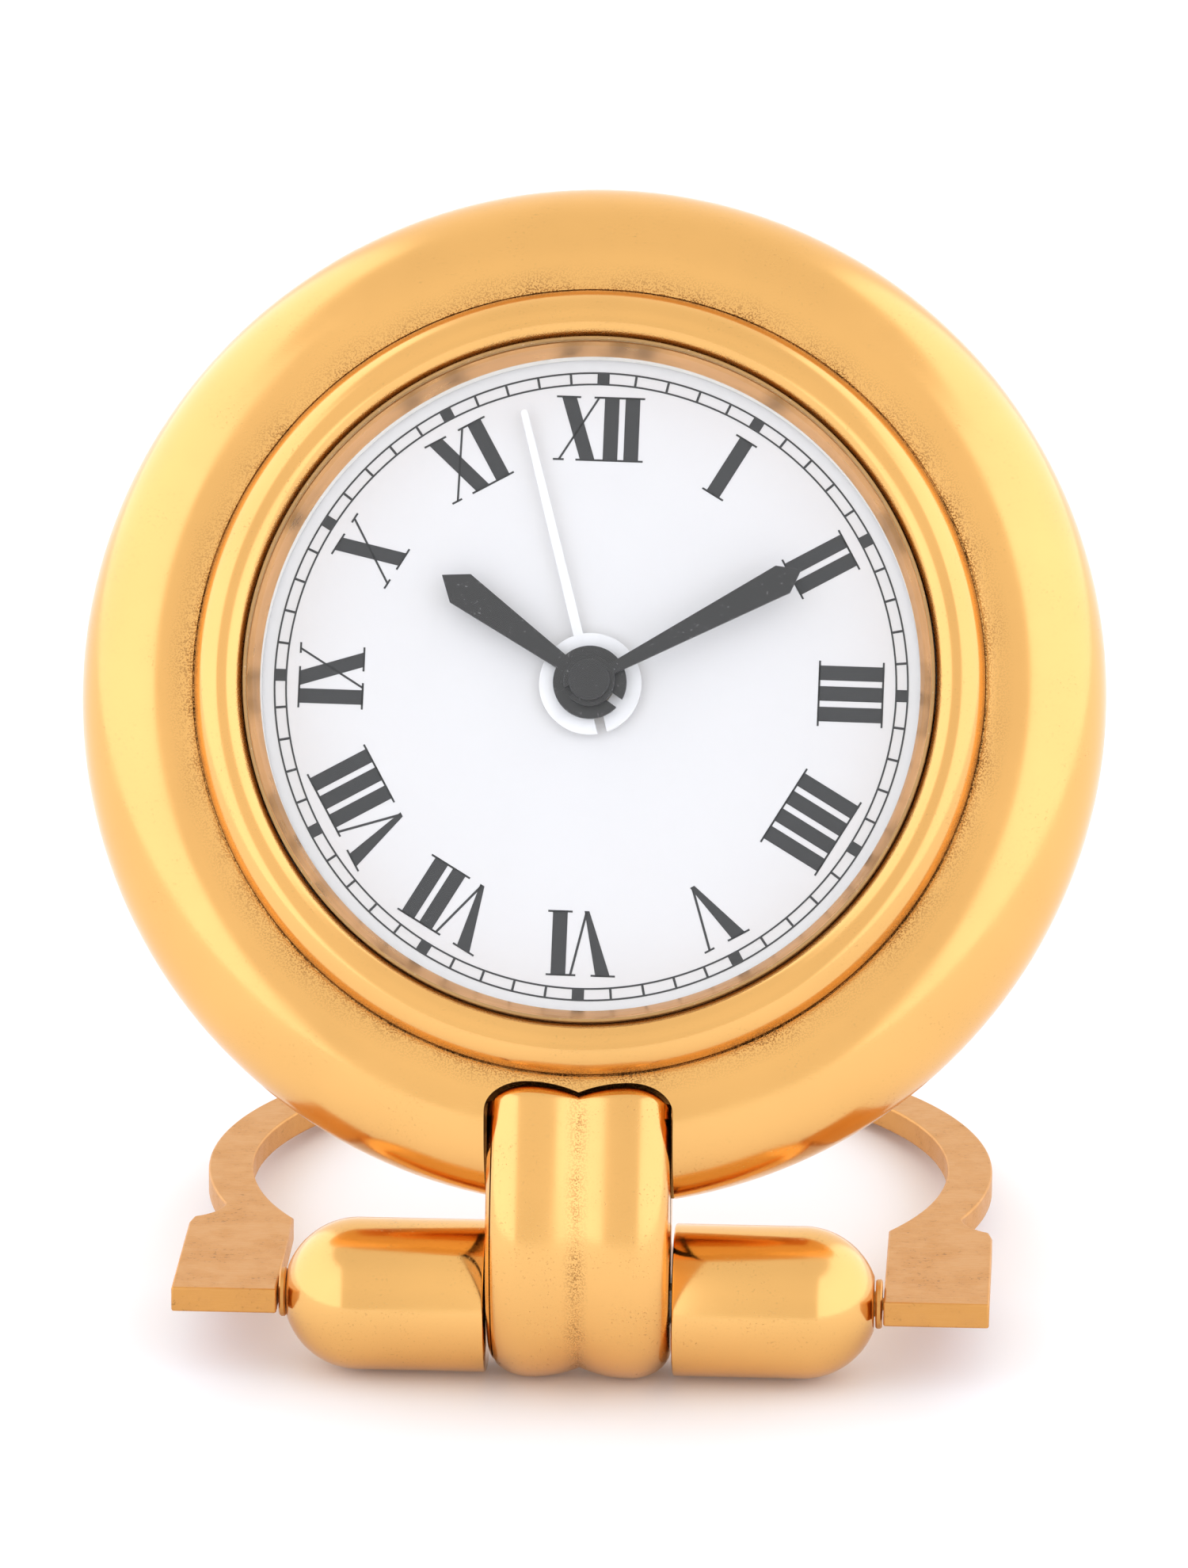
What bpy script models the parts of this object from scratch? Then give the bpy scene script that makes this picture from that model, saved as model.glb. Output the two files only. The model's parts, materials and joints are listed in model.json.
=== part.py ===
"""A travel alarm clock: a round quartz head on a lobed strap and barrel, with a loop stand that folds.

The head's own frame has its origin on the dial's face, X to the right, Y up the dial and Z out of the
dial. The stand's frame has its origin on the barrel's axis, Y towards the loop's far end.
"""

import math

import bmesh
import bpy
from mathutils import Matrix, Vector

MM = 0.001

# Head: overall sizes
RING_RADIUS = 32.2 * MM  # outside of the case ring
RING_FACE = 7.5 * MM  # width of the ring's domed face, from its outside in to the bead
RING_SECTION = 6.0 * MM  # radius of the ring's round section
RING_DEPTH = 3.9 * MM  # from the dial's face back to the middle of that section
BACK_DEPTH = 6.5 * MM  # from the dial's face to the case's flat back
BEAD_WIDTH = 3.05 * MM
BEAD_SEAT = 1.2 * MM  # width of the ledge that the bead sits on
BEAD_HEIGHT = 4.0 * MM  # top of the bead over the dial's face
BEAD_CREST = 1.8 * MM  # from the bead's outside in to its top
BEZEL_FLANGE = 1.4 * MM  # underside of the bead's flange over the dial's face
BEZEL_FOOT = 0.15 * MM
COVER_MARGIN = 4.2 * MM  # from the ring's outside in to the back cover
COVER_THICKNESS = 0.8 * MM
GASKET_WIDTH = 1.2 * MM
GASKET_SEAT = -5.3 * MM
GLASS_THICKNESS = 0.8 * MM
GLASS_HEIGHT = 2.9 * MM  # underside of the crystal over the dial's face
DIAL_THICKNESS = 0.4 * MM
FLANGE_WIDTH = 1.05 * MM  # of the flange between the dial and the bead
GLASS_MARGIN = 0.4 * MM  # between the crystal and the bead's bore
LEAN = math.radians(29.5)  # of the head, back from upright

# Clearances
SNUG = 0.1 * MM  # round pieces that sit in each other
SEAT = 0.15 * MM  # between stacked pieces
LOOSE = 0.3 * MM  # beside a piece that moves past another

# Strap, barrel and stand
AXIS_CLEARANCE = 5.45 * MM  # barrel's axis below the case ring
AXIS_DEPTH = 7.6 * MM  # barrel's axis behind the dial's face
STRAP_HALF_WIDTH = 5.7 * MM
STRAP_FRONT = 2.3 * MM  # strap's straight front over the dial's face
STRAP_GAP = 0.6 * MM  # between the bead and the strap's top end
STRAP_BEND = 1.0 * MM  # radius of the bend at its top end
STRAP_SEAT_DEPTH = 5.0 * MM  # back of the strap inside the ring, behind the dial's face
STRAP_STRAIGHT = 6.2 * MM  # over the barrel's axis, where its straight front ends
STRAP_WRAP = 5.0 * MM  # radius of the strap round the barrel's axis
LOBE_CREST = 3.1 * MM  # from the strap's middle to the top of a lobe
LOBE_GROOVE = 0.65 * MM  # depth of the groove between the lobes
LOBE_SHOULDER = 1.9 * MM  # drop of a lobe's outer shoulder
BARREL_RADIUS = 4.8 * MM
BARREL_HALF_LENGTH = 18.7 * MM
BARREL_TIP = 1.7 * MM  # radius of the flat at a barrel's end
ROD_RADIUS = 1.5 * MM
ROD_END = 14.5 * MM
STAND_THICKNESS = 1.6 * MM
STAND_REACH = 49.4 * MM  # from the barrel's axis to the loop's far end
LOOP_RADIUS = 25.4 * MM
LOOP_BAND = 2.9 * MM
LOOP_START = -21.5  # lowest angle of the loop's round outside, in degrees
FOOT_INNER = 19.0 * MM
FOOT_OUTER = 25.6 * MM
FOOT_FRONT = 2.0 * MM  # foot in front of the barrel's axis
FOOT_LENGTH = 12.8 * MM
REST_CUT = 0.25 * MM  # ground off under the loop's far end
PIN_RADIUS = 0.4 * MM
PIN_STUB = 0.8 * MM
PIN_LENGTH = 4.0 * MM
COLLAR_RADIUS = 1.55 * MM

# Hands, as angles clockwise from twelve: ten past ten, alarm at half past eleven
MINUTE_TURN = math.radians(61.0)
HOUR_TURN = math.radians(305.0)
ALARM_TURN = math.radians(345.0)
MINUTE_LENGTH = 14.9 * MM
HOUR_LENGTH = 11.5 * MM
ALARM_LENGTH = 17.9 * MM
HAND_THICKNESS = 0.3 * MM
HAND_STEP = 0.7 * MM  # from one hand up to the next
FIRST_HAND = 0.5 * MM  # lowest hand over the dial's face
MINUTE_HUB = 1.6 * MM
HOUR_HUB = 2.3 * MM
ALARM_HUB = 3.2 * MM
HUB_SLOT = 0.6 * MM

# Movement
WHEEL_THICKNESS = 0.35 * MM
WHEEL_STEP = 0.55 * MM  # from one wheel's face down to the next
FIRST_WHEEL = 0.6 * MM  # alarm wheel's face behind the dial's face
PLATE_THICKNESS = 0.7 * MM
PLATE_DEPTH = 2.3 * MM
BRIDGE_DEPTH = 4.9 * MM
BRIDGE_THICKNESS = 0.35 * MM
MODULE = 0.25 * MM
HOUR_MODULE = 0.24 * MM
ALARM_MODULE = 0.33 * MM
TRAIN_MODULE = 0.27 * MM
CANNON_TEETH = 12
MOTION_TEETH = 36
MOTION_PINION_TEETH = 10
HOUR_TEETH = 40
SETTING_TEETH = 12
ALARM_TEETH = 48
ALARM_PINION_TEETH = 15
CENTRE_TEETH = 45
TRAIN_PINION_TEETH = 6
INTERMEDIATE_TEETH = 24
ARBOR_RADIUS = 0.5 * MM
PIPE_WALL = 0.35 * MM
PIVOT = 0.3 * MM
STEM_RADIUS = 0.75 * MM
STEM_ANGLE = math.radians(12.0)  # knobs below the middle of the dial
KNOB_RADIUS = 4.2 * MM
KNOB_HEIGHT = 2.5 * MM
KNOB_FLUTES = 20
BATTERY_RADIUS = 5.8 * MM
BATTERY_THICKNESS = 2.05 * MM
BATTERY_DROP = 13.5 * MM
HATCH_RADIUS = 7.0 * MM
CASE_SCREW_MARGIN = 1.2 * MM  # from the gasket out to the case screws
PLATE_SCREW_MARGIN = 5.5 * MM  # from the case's bore in to the movement's screws
SCREW_RADIUS = 0.6 * MM
SCREW_HEAD = 1.1 * MM
SCREW_HEAD_HEIGHT = 0.5 * MM
SWITCH_TRAVEL = 3.0 * MM

FINE = 40  # sides of the big round pieces
MEDIUM = 32
COARSE = 16

# Places and sizes that follow
BEZEL_RADIUS = RING_RADIUS - RING_FACE
BEZEL_BORE = BEZEL_RADIUS - BEAD_WIDTH
CASE_BORE = BEZEL_RADIUS - BEAD_SEAT
COVER_RADIUS = RING_RADIUS - COVER_MARGIN
GASKET_OUTER = CASE_BORE + GASKET_WIDTH
GLASS_RADIUS = BEZEL_BORE - GLASS_MARGIN
DIAL_VIEW = BEZEL_BORE - FLANGE_WIDTH
AXIS_DROP = RING_RADIUS + AXIS_CLEARANCE  # barrel's axis below the middle of the dial
STRAP_TOP = BEZEL_RADIUS + STRAP_GAP
BARREL_END = BARREL_HALF_LENGTH - BARREL_RADIUS + math.sqrt(BARREL_RADIUS**2 - BARREL_TIP**2)
HOUR_PIPE = ARBOR_RADIUS + SNUG + PIPE_WALL
ALARM_PIPE = HOUR_PIPE + SNUG + PIPE_WALL
ARBOR_TOP = FIRST_HAND + 2 * HAND_STEP + HAND_THICKNESS + 0.15 * MM
STEM_END = BACK_DEPTH + 2.3 * MM
CASE_SCREW_CIRCLE = GASKET_OUTER + CASE_SCREW_MARGIN
PLATE_SCREW_CIRCLE = CASE_BORE - PLATE_SCREW_MARGIN
WALL = BACK_DEPTH - COVER_THICKNESS  # depth of the cover's inner face
MOTION_REACH = MODULE * (CANNON_TEETH + MOTION_TEETH) / 2
STEM_REACH = ALARM_MODULE * (ALARM_TEETH + ALARM_PINION_TEETH) / 2
TRAIN_REACH = TRAIN_MODULE * (CENTRE_TEETH + TRAIN_PINION_TEETH) / 2
ROTOR_REACH = TRAIN_MODULE * (INTERMEDIATE_TEETH + TRAIN_PINION_TEETH) / 2
TIME_DIRECTION = math.pi + STEM_ANGLE
ALARM_DIRECTION = -STEM_ANGLE
MOTION_DIRECTION = TIME_DIRECTION - math.acos(STEM_REACH / (2 * MOTION_REACH))
TRAIN_DIRECTION = math.radians(60.0)
ROTOR_DIRECTION = math.radians(75.0)


def polar(radius, angle):
    return Vector((radius * math.cos(angle), radius * math.sin(angle), 0))


TIME_STEM = polar(STEM_REACH, TIME_DIRECTION)
ALARM_STEM = polar(STEM_REACH, ALARM_DIRECTION)
MOTION_PLACE = polar(MOTION_REACH, MOTION_DIRECTION)
TRAIN_PLACE = polar(TRAIN_REACH, TRAIN_DIRECTION)
ROTOR_PLACE = TRAIN_PLACE + polar(ROTOR_REACH, ROTOR_DIRECTION)
BATTERY_PLACE = Vector((0, -BATTERY_DROP, 0))
BUZZER_PLACE = Vector((0, 11.5 * MM, 0))
SWITCH_PLACE = Vector((-SWITCH_TRAVEL / 2, -2.6 * MM, 0))
MOVEMENT_SCREWS = [polar(PLATE_SCREW_CIRCLE, math.radians(turn)) for turn in (15, 165, 300)]
CASE_SCREWS = [polar(CASE_SCREW_CIRCLE, math.radians(turn)) for turn in (45, 135, 225, 315)]
STRAP_SCREWS = [Vector((side * 2.8 * MM, 2 * MM - RING_RADIUS, 0)) for side in (-1, 1)]

# The strap's lowest point rests on the surface, and so does the ground face under the loop
AXIS_HEIGHT = STRAP_WRAP
STAND_SLOPE = math.asin((AXIS_HEIGHT - STAND_THICKNESS / 2 + REST_CUT) / STAND_REACH)
STRAP_BELLY = AXIS_DEPTH + STRAP_FRONT  # strap's front ahead of the axis
STRAP_DROP = STRAP_STRAIGHT + STRAP_WRAP  # height of the strap's curved front
FRONT_REACH = math.hypot(STRAP_DROP * math.sin(LEAN), STRAP_BELLY * math.cos(LEAN))
FRONT_REACH = FRONT_REACH - STRAP_STRAIGHT * math.sin(LEAN)
STAND_BACK = STAND_REACH * math.cos(STAND_SLOPE) + STAND_THICKNESS / 2 * math.sin(STAND_SLOPE)
AXIS_Y = (FRONT_REACH - STAND_BACK) / 2


# Frames and materials


def clear_scene():
    for old in list(bpy.data.objects):
        bpy.data.objects.remove(old)


def add_frame(name, location, rotation):
    frame = bpy.data.objects.new(name, None)
    frame.location = location
    frame.rotation_euler = rotation
    bpy.context.scene.collection.objects.link(frame)
    return frame


def add_material(name, colour, roughness, metallic):
    material = bpy.data.materials.new(name)
    material.use_nodes = True
    shader = material.node_tree.nodes["Principled BSDF"]
    shader.inputs["Base Color"].default_value = (*colour, 1)
    shader.inputs["Roughness"].default_value = roughness
    shader.inputs["Metallic"].default_value = metallic
    return material


COLOURS = {
    "gold": ((0.86, 0.52, 0.19), 0.18, 1.0),
    "aged_gold": ((0.72, 0.43, 0.20), 0.32, 1.0),
    "copper": ((0.72, 0.40, 0.22), 0.25, 1.0),
    "glass": ((0.92, 0.95, 0.95), 0.03, 0.0),
    "dial_white": ((0.90, 0.91, 0.93), 0.45, 0.0),
    "hand_black": ((0.03, 0.03, 0.035), 0.35, 0.0),
    "hand_white": ((0.88, 0.88, 0.88), 0.40, 0.0),
    "steel": ((0.60, 0.61, 0.63), 0.30, 1.0),
    "brass": ((0.75, 0.55, 0.22), 0.30, 1.0),
    "plastic": ((0.80, 0.79, 0.75), 0.50, 0.0),
    "black_plastic": ((0.02, 0.02, 0.02), 0.45, 0.0),
    "gasket": ((0.10, 0.06, 0.03), 0.60, 0.0),
    "green_board": ((0.03, 0.20, 0.08), 0.40, 0.0),
    "winding": ((0.60, 0.22, 0.09), 0.35, 1.0),
}


# Mesh tools


def add_node(name, shape, parent, finish, place=(0, 0, 0), turn=(0, 0, 0)):
    """Makes one named piece of a bmesh, in its parent frame, with a material of its own."""
    bmesh.ops.remove_doubles(shape, verts=shape.verts, dist=1e-7)
    bmesh.ops.recalc_face_normals(shape, faces=shape.faces)
    mesh = bpy.data.meshes.new(name)
    shape.to_mesh(mesh)
    shape.free()
    mesh.shade_smooth()
    mesh.set_sharp_from_angle(angle=math.radians(30))
    mesh.materials.append(add_material(name, *COLOURS[finish]))
    node = bpy.data.objects.new(name, mesh)
    bpy.context.scene.collection.objects.link(node)
    node.parent = parent
    node.location = place
    node.rotation_euler = turn
    return node


def turned(profile, sides, closed=True):
    """Spins a profile of (radius, height) points round Z. An open profile starts and ends on the axis."""
    shape = bmesh.new()
    points = [shape.verts.new((radius, 0, height)) for radius, height in profile]
    edges = [shape.edges.new(pair) for pair in zip(points, points[1:])]
    if closed:
        edges.append(shape.edges.new((points[-1], points[0])))
    bmesh.ops.spin(
        shape, geom=points + edges, cent=(0, 0, 0), axis=(0, 0, 1), angle=2 * math.pi,
        steps=sides, use_merge=True,
    )
    return shape


def disc(radius, low, high, sides=COARSE):
    return turned([(0, low), (radius, low), (radius, high), (0, high)], sides, closed=False)


def washer(inner, outer, low, high, sides=COARSE):
    return turned([(inner, low), (outer, low), (outer, high), (inner, high)], sides)


def slab(outline, low, high):
    """Raises an outline of (x, y) points into a flat plate between two heights."""
    shape = bmesh.new()
    face = shape.faces.new([shape.verts.new((x, y, low)) for x, y in outline])
    raised = bmesh.ops.extrude_face_region(shape, geom=[face])
    lifted = [part for part in raised["geom"] if isinstance(part, bmesh.types.BMVert)]
    bmesh.ops.translate(shape, verts=lifted, vec=(0, 0, high - low))
    return shape


def box(x_low, x_high, y_low, y_high, z_low, z_high):
    corners = [(x_low, y_low), (x_high, y_low), (x_high, y_high), (x_low, y_high)]
    return slab(corners, z_low, z_high)


def arc(middle_x, middle_y, size_x, size_y, start, end, steps):
    """Points along part of an ellipse, with angles in degrees."""
    angles = [math.radians(start + (end - start) * step / steps) for step in range(steps + 1)]
    return [
        (middle_x + size_x * math.cos(angle), middle_y + size_y * math.sin(angle))
        for angle in angles
    ]


def joined(*shapes):
    """One bmesh that holds several shapes."""
    whole = shapes[0]
    for extra in shapes[1:]:
        loose = bpy.data.meshes.new("loose")
        extra.to_mesh(loose)
        extra.free()
        whole.from_mesh(loose)
        bpy.data.meshes.remove(loose)
    return whole


def moved(shape, x=0.0, y=0.0, z=0.0):
    bmesh.ops.translate(shape, verts=shape.verts, vec=(x, y, z))
    return shape


def laid_along_x(shape):
    """Turns a shape from along Z to along X."""
    bmesh.ops.rotate(shape, verts=shape.verts, matrix=Matrix.Rotation(math.pi / 2, 3, "Y"))
    return shape


def combine(node, shape, operation):
    """Cuts a shape out of a piece, or adds it to the piece, in the piece's own frame."""
    tool = add_node(node.name + "_tool", shape, node.parent, "steel")
    tool.location = node.location
    tool.rotation_euler = node.rotation_euler
    tool.hide_render = True
    tool.display_type = "WIRE"
    change = node.modifiers.new(operation.lower(), "BOOLEAN")
    change.operation = operation
    change.object = tool
    change.solver = "MANIFOLD"


def cut(node, *shapes):
    for shape in shapes:
        combine(node, shape, "DIFFERENCE")


def fuse(node, *shapes):
    for shape in shapes:
        combine(node, shape, "UNION")


def drill(node, places, radius, low, high, sides=COARSE):
    """Bores round holes, each at its own place in the piece's frame."""
    holes = [moved(disc(radius, low, high, sides), place[0], place[1]) for place in places]
    cut(node, joined(*holes))


# Wheels


def gear(teeth, module, low, high):
    """A spur wheel or pinion with straight-sided teeth, the first one centred on X."""
    pitch = teeth * module / 2
    step = 2 * math.pi / teeth
    root = pitch - 1.0 * module
    tip = pitch + 0.75 * module
    outline = []
    for tooth in range(teeth):
        for radius, share in ((root, -0.28), (tip, -0.09), (tip, 0.09), (root, 0.28)):
            point = polar(radius, (tooth + share) * step)
            outline.append((point.x, point.y))
    return slab(outline, low, high)


def mesh_turn(direction, turn, teeth, next_teeth):
    """How far a wheel is turned, so that its gap takes the tooth of the wheel before it."""
    ratio = teeth / next_teeth
    return direction + math.pi - (turn - direction) * ratio - math.pi / next_teeth


# Case


def ring_surface(radius):
    """Height of the ring's round front at a radius."""
    across = radius - (RING_RADIUS - RING_SECTION)
    return math.sqrt(RING_SECTION**2 - across**2) - RING_DEPTH


def make_case_ring(head):
    middle = RING_RADIUS - RING_SECTION
    seat = BEZEL_RADIUS + SNUG
    bead_seat = BEZEL_FLANGE - SEAT
    start = math.degrees(math.atan2(ring_surface(seat) + RING_DEPTH, seat - middle))
    end = -math.degrees(math.asin((BACK_DEPTH - RING_DEPTH) / RING_SECTION))
    profile = arc(middle, -RING_DEPTH, RING_SECTION, RING_SECTION, start, end, 10)
    profile += [
        (COVER_RADIUS + SNUG, -BACK_DEPTH),
        (COVER_RADIUS + SNUG, SEAT - WALL),
        (GASKET_OUTER + SNUG, SEAT - WALL),
        (GASKET_OUTER + SNUG, GASKET_SEAT),
        (CASE_BORE, GASKET_SEAT),
        (CASE_BORE, bead_seat),
        (seat, bead_seat),
    ]
    ring = add_node("case_ring", turned(profile, FINE), head, "gold")
    cut(ring, strap_shape(SEAT))
    drill(ring, CASE_SCREWS, SCREW_RADIUS + SNUG, -BACK_DEPTH - MM, -2.8 * MM, 12)
    drill(ring, STRAP_SCREWS, SCREW_RADIUS + SNUG, -BACK_DEPTH - MM, -STRAP_SEAT_DEPTH + MM, 12)
    head_depth = SEAT - BACK_DEPTH + SCREW_HEAD_HEIGHT
    drill(ring, STRAP_SCREWS, SCREW_HEAD + SNUG, -BACK_DEPTH - MM, head_depth, 16)


def make_inner_bezel(head):
    crest = BEZEL_RADIUS - BEAD_CREST
    edge = BEZEL_FLANGE + 0.35 * MM
    inner_drop = 1.0 * MM
    profile = [(CASE_BORE - SNUG, BEZEL_FOOT), (CASE_BORE - SNUG, BEZEL_FLANGE)]
    profile += [(BEZEL_RADIUS, BEZEL_FLANGE)]
    profile += arc(crest, edge, BEAD_CREST, BEAD_HEIGHT - edge, 0, 90, 5)
    inner = arc(crest, BEAD_HEIGHT - inner_drop, crest - BEZEL_BORE, inner_drop, 90, 180, 4)
    profile += inner[1:]
    profile += [(BEZEL_BORE, BEZEL_FOOT)]
    add_node("inner_bezel", turned(profile, FINE), head, "gold")


def make_crystal(head):
    bevel = 0.3 * MM
    top = GLASS_HEIGHT + GLASS_THICKNESS
    profile = [
        (0, GLASS_HEIGHT),
        (GLASS_RADIUS, GLASS_HEIGHT),
        (GLASS_RADIUS, top - bevel),
        (GLASS_RADIUS - bevel, top),
        (0, top),
    ]
    add_node("crystal", turned(profile, FINE, closed=False), head, "glass")
    ring = washer(GLASS_RADIUS + SNUG, BEZEL_BORE - SNUG, GLASS_HEIGHT, top - 0.4 * MM, FINE)
    add_node("crystal_gasket", ring, head, "gasket")


def make_dial(head):
    outer = BEZEL_BORE - SNUG
    low = SNUG
    top = GLASS_HEIGHT - SEAT
    profile = [
        (DIAL_VIEW, low),
        (outer, low),
        (outer, top),
        (outer - 0.25 * MM, top),
        (DIAL_VIEW, 1.4 * MM),
    ]
    add_node("dial_flange", turned(profile, FINE), head, "copper")
    hole = ALARM_PIPE + SNUG
    dial = washer(hole, CASE_BORE - MM, -DIAL_THICKNESS, 0, FINE)
    add_node("dial", dial, head, "dial_white")


def make_back(head):
    inner_face = -WALL
    cover = disc(COVER_RADIUS, -BACK_DEPTH, inner_face, FINE)
    cover = add_node("back_cover", cover, head, "gold")
    below = -BACK_DEPTH - MM
    above = inner_face + MM
    drill(cover, [TIME_STEM, ALARM_STEM], STEM_RADIUS + SNUG, below, above)
    drill(cover, [BATTERY_PLACE], HATCH_RADIUS + SNUG, below, above, MEDIUM)
    drill(cover, CASE_SCREWS, SCREW_RADIUS + SNUG, below, above, 12)
    drill(cover, CASE_SCREWS, SCREW_HEAD + SNUG, below, SCREW_HEAD_HEIGHT - BACK_DEPTH + SNUG, 16)
    sound_holes = [BUZZER_PLACE] + [BUZZER_PLACE + polar(3.0 * MM, turn) for turn in sixths()]
    drill(cover, sound_holes, 0.5 * MM, below, above, 8)
    slot = switch_half("neck")[0] + SWITCH_TRAVEL / 2 + SNUG
    wide = switch_half("neck")[1] + SNUG
    cut(cover, moved(box(-slot, slot, -wide, wide, below, above), 0, SWITCH_PLACE.y))
    notch = HATCH_RADIUS + 0.8 * MM
    gap = 1.4 * MM
    cut(cover, moved(box(-notch, notch, -gap, gap, below, above), 0, BATTERY_PLACE.y))
    low = SEAT / 2 - WALL
    gasket = washer(CASE_BORE + 2 * SNUG, GASKET_OUTER, low, GASKET_SEAT - SEAT / 2, FINE)
    add_node("back_gasket", gasket, head, "gasket")
    for number, place in enumerate(CASE_SCREWS, 1):
        make_screw(head, f"case_screw_{number}", place, -BACK_DEPTH, SCREW_HEAD_HEIGHT, 3.2 * MM)
    for name, place in zip(("left", "right"), STRAP_SCREWS):
        make_screw(head, f"strap_screw_{name}", place, -BACK_DEPTH, SCREW_HEAD_HEIGHT, 3.4 * MM)


def sixths():
    return [step * math.pi / 3 for step in range(6)]


def make_screw(head, name, place, low, head_height, length):
    """A slotted screw with its head outwards, at the low end."""
    slot_depth = head_height / 2
    profile = [
        (0, low),
        (SCREW_HEAD, low),
        (SCREW_HEAD, low + head_height),
        (SCREW_RADIUS, low + head_height),
        (SCREW_RADIUS, low + length),
        (0, low + length),
    ]
    screw = add_node(name, turned(profile, 16, closed=False), head, "steel", place)
    half = 0.15 * MM
    cut(screw, box(-2 * MM, 2 * MM, -half, half, low - MM, low + slot_depth))


# Strap and barrel


def lobe_drop(across):
    """How far the strap's surface lies under the lobes' tops, at a distance from its middle."""
    inward = LOBE_CREST - across
    if inward >= 0:
        radius = (LOBE_CREST**2 + LOBE_GROOVE**2) / (2 * LOBE_GROOVE)
        return radius - math.sqrt(radius**2 - inward**2)
    share = min(1.0, -inward / (STRAP_HALF_WIDTH - LOBE_CREST))
    return LOBE_SHOULDER * (1 - math.sqrt(1 - share**2))


def strap_side(drop, room):
    """The strap's outline from the side as (height, out) points, sunk by drop and grown by room."""
    wrap = STRAP_WRAP - drop + room
    front = STRAP_FRONT - drop + room
    bend = STRAP_BEND - drop + room
    kink = STRAP_STRAIGHT - AXIS_DROP
    back = -STRAP_SEAT_DEPTH - room
    belly = STRAP_BELLY - drop + room
    bend_y = -STRAP_TOP - STRAP_BEND
    bend_z = STRAP_FRONT - STRAP_BEND
    points = [(bend_y + bend, back)]
    points += arc(bend_y, bend_z, bend, front - bend_z, 0, 90, 4)
    points += arc(kink, -AXIS_DEPTH, STRAP_DROP - drop + room, belly, 90, 180, 8)
    points += arc(-AXIS_DROP, -AXIS_DEPTH, wrap, wrap, 180, 360, 10)[1:]
    points += [(-RING_RADIUS - 0.6 * MM, back)]
    return points


def strap_shape(room):
    """The strap as a skin over its side outlines, one for each station across its width."""
    outer_steps = 4
    inner_steps = 3
    width = STRAP_HALF_WIDTH - LOBE_CREST
    half = [LOBE_CREST * step / inner_steps for step in range(inner_steps + 1)]
    for step in range(1, outer_steps + 1):
        half.append(LOBE_CREST + width * math.sin(step / outer_steps * math.pi / 2))
    stations = [-across for across in reversed(half[1:])] + half
    shape = bmesh.new()
    rows = []
    for across in stations:
        side = strap_side(lobe_drop(abs(across)), room)
        x = across * (1 + room / STRAP_HALF_WIDTH)
        rows.append([shape.verts.new((x, y, z)) for y, z in side])
    for row, following in zip(rows, rows[1:]):
        for first, second in zip(range(len(row)), list(range(1, len(row))) + [0]):
            shape.faces.new((row[first], row[second], following[second], following[first]))
    shape.faces.new(rows[0])
    shape.faces.new(rows[-1])
    return shape


def make_strap(head):
    strap = add_node("strap", strap_shape(0), head, "gold")
    bore = laid_along_x(disc(ROD_RADIUS + SNUG, -10 * MM, 10 * MM, COARSE))
    cut(strap, moved(bore, 0, -AXIS_DROP, -AXIS_DEPTH))
    drill(strap, STRAP_SCREWS, SCREW_RADIUS + SNUG, -STRAP_SEAT_DEPTH - MM, -2.8 * MM, 12)


def make_barrel(axle):
    """Two hollow halves with round ends, each on its own side of the strap."""
    start = STRAP_HALF_WIDTH + SEAT
    middle = BARREL_HALF_LENGTH - BARREL_RADIUS
    tip_angle = math.degrees(math.asin(BARREL_TIP / BARREL_RADIUS))
    chamfer = 0.15 * MM
    rod_bore = ROD_RADIUS + SNUG
    rod_end = ROD_END + SNUG
    stub_bore = PIN_STUB + SNUG
    dome = arc(middle, 0, BARREL_RADIUS, BARREL_RADIUS, 90, tip_angle, 6)
    profile = [(rod_bore, start), (BARREL_RADIUS - chamfer, start)]
    profile += [(BARREL_RADIUS, start + chamfer)]
    profile += [(radius, along) for along, radius in dome]
    profile += [(stub_bore, dome[-1][0]), (stub_bore, rod_end), (rod_bore, rod_end)]
    for name, turn in (("barrel_left", -math.pi / 2), ("barrel_right", math.pi / 2)):
        add_node(name, turned(profile, MEDIUM), axle, "gold", turn=(0, turn, 0))
    rod = disc(ROD_RADIUS, -ROD_END, ROD_END, COARSE)
    add_node("barrel_rod", rod, axle, "steel", turn=(0, math.pi / 2, 0))


# Stand


def stand_outline():
    """The plate from above: two feet joined by a loop, on the axis at y = 0."""
    centre = STAND_REACH - LOOP_RADIUS
    rear = FOOT_LENGTH - FOOT_FRONT
    inner_radius = LOOP_RADIUS - LOOP_BAND
    shoulder = 1.5 * MM
    join_y = rear + 2.6 * shoulder
    outer_start = max(LOOP_START, math.degrees(math.asin((join_y - centre) / LOOP_RADIUS)))
    inner_start = math.degrees(math.asin(-math.sqrt(1 - (FOOT_INNER / inner_radius) ** 2)))
    corner = LOOP_RADIUS * math.cos(math.radians(outer_start))
    right = [(FOOT_INNER, -FOOT_FRONT), (FOOT_OUTER, -FOOT_FRONT), (FOOT_OUTER, rear)]
    right += [(corner + 0.5 * MM, rear + shoulder), (corner + 0.1 * MM, rear + 1.6 * shoulder)]
    outer = arc(0, centre, LOOP_RADIUS, LOOP_RADIUS, outer_start, 180 - outer_start, 30)
    inner = arc(0, centre, inner_radius, inner_radius, inner_start, 180 - inner_start, 30)
    left = [(-x, y) for x, y in reversed(right)]
    return right + outer + left + list(reversed(inner))


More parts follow.
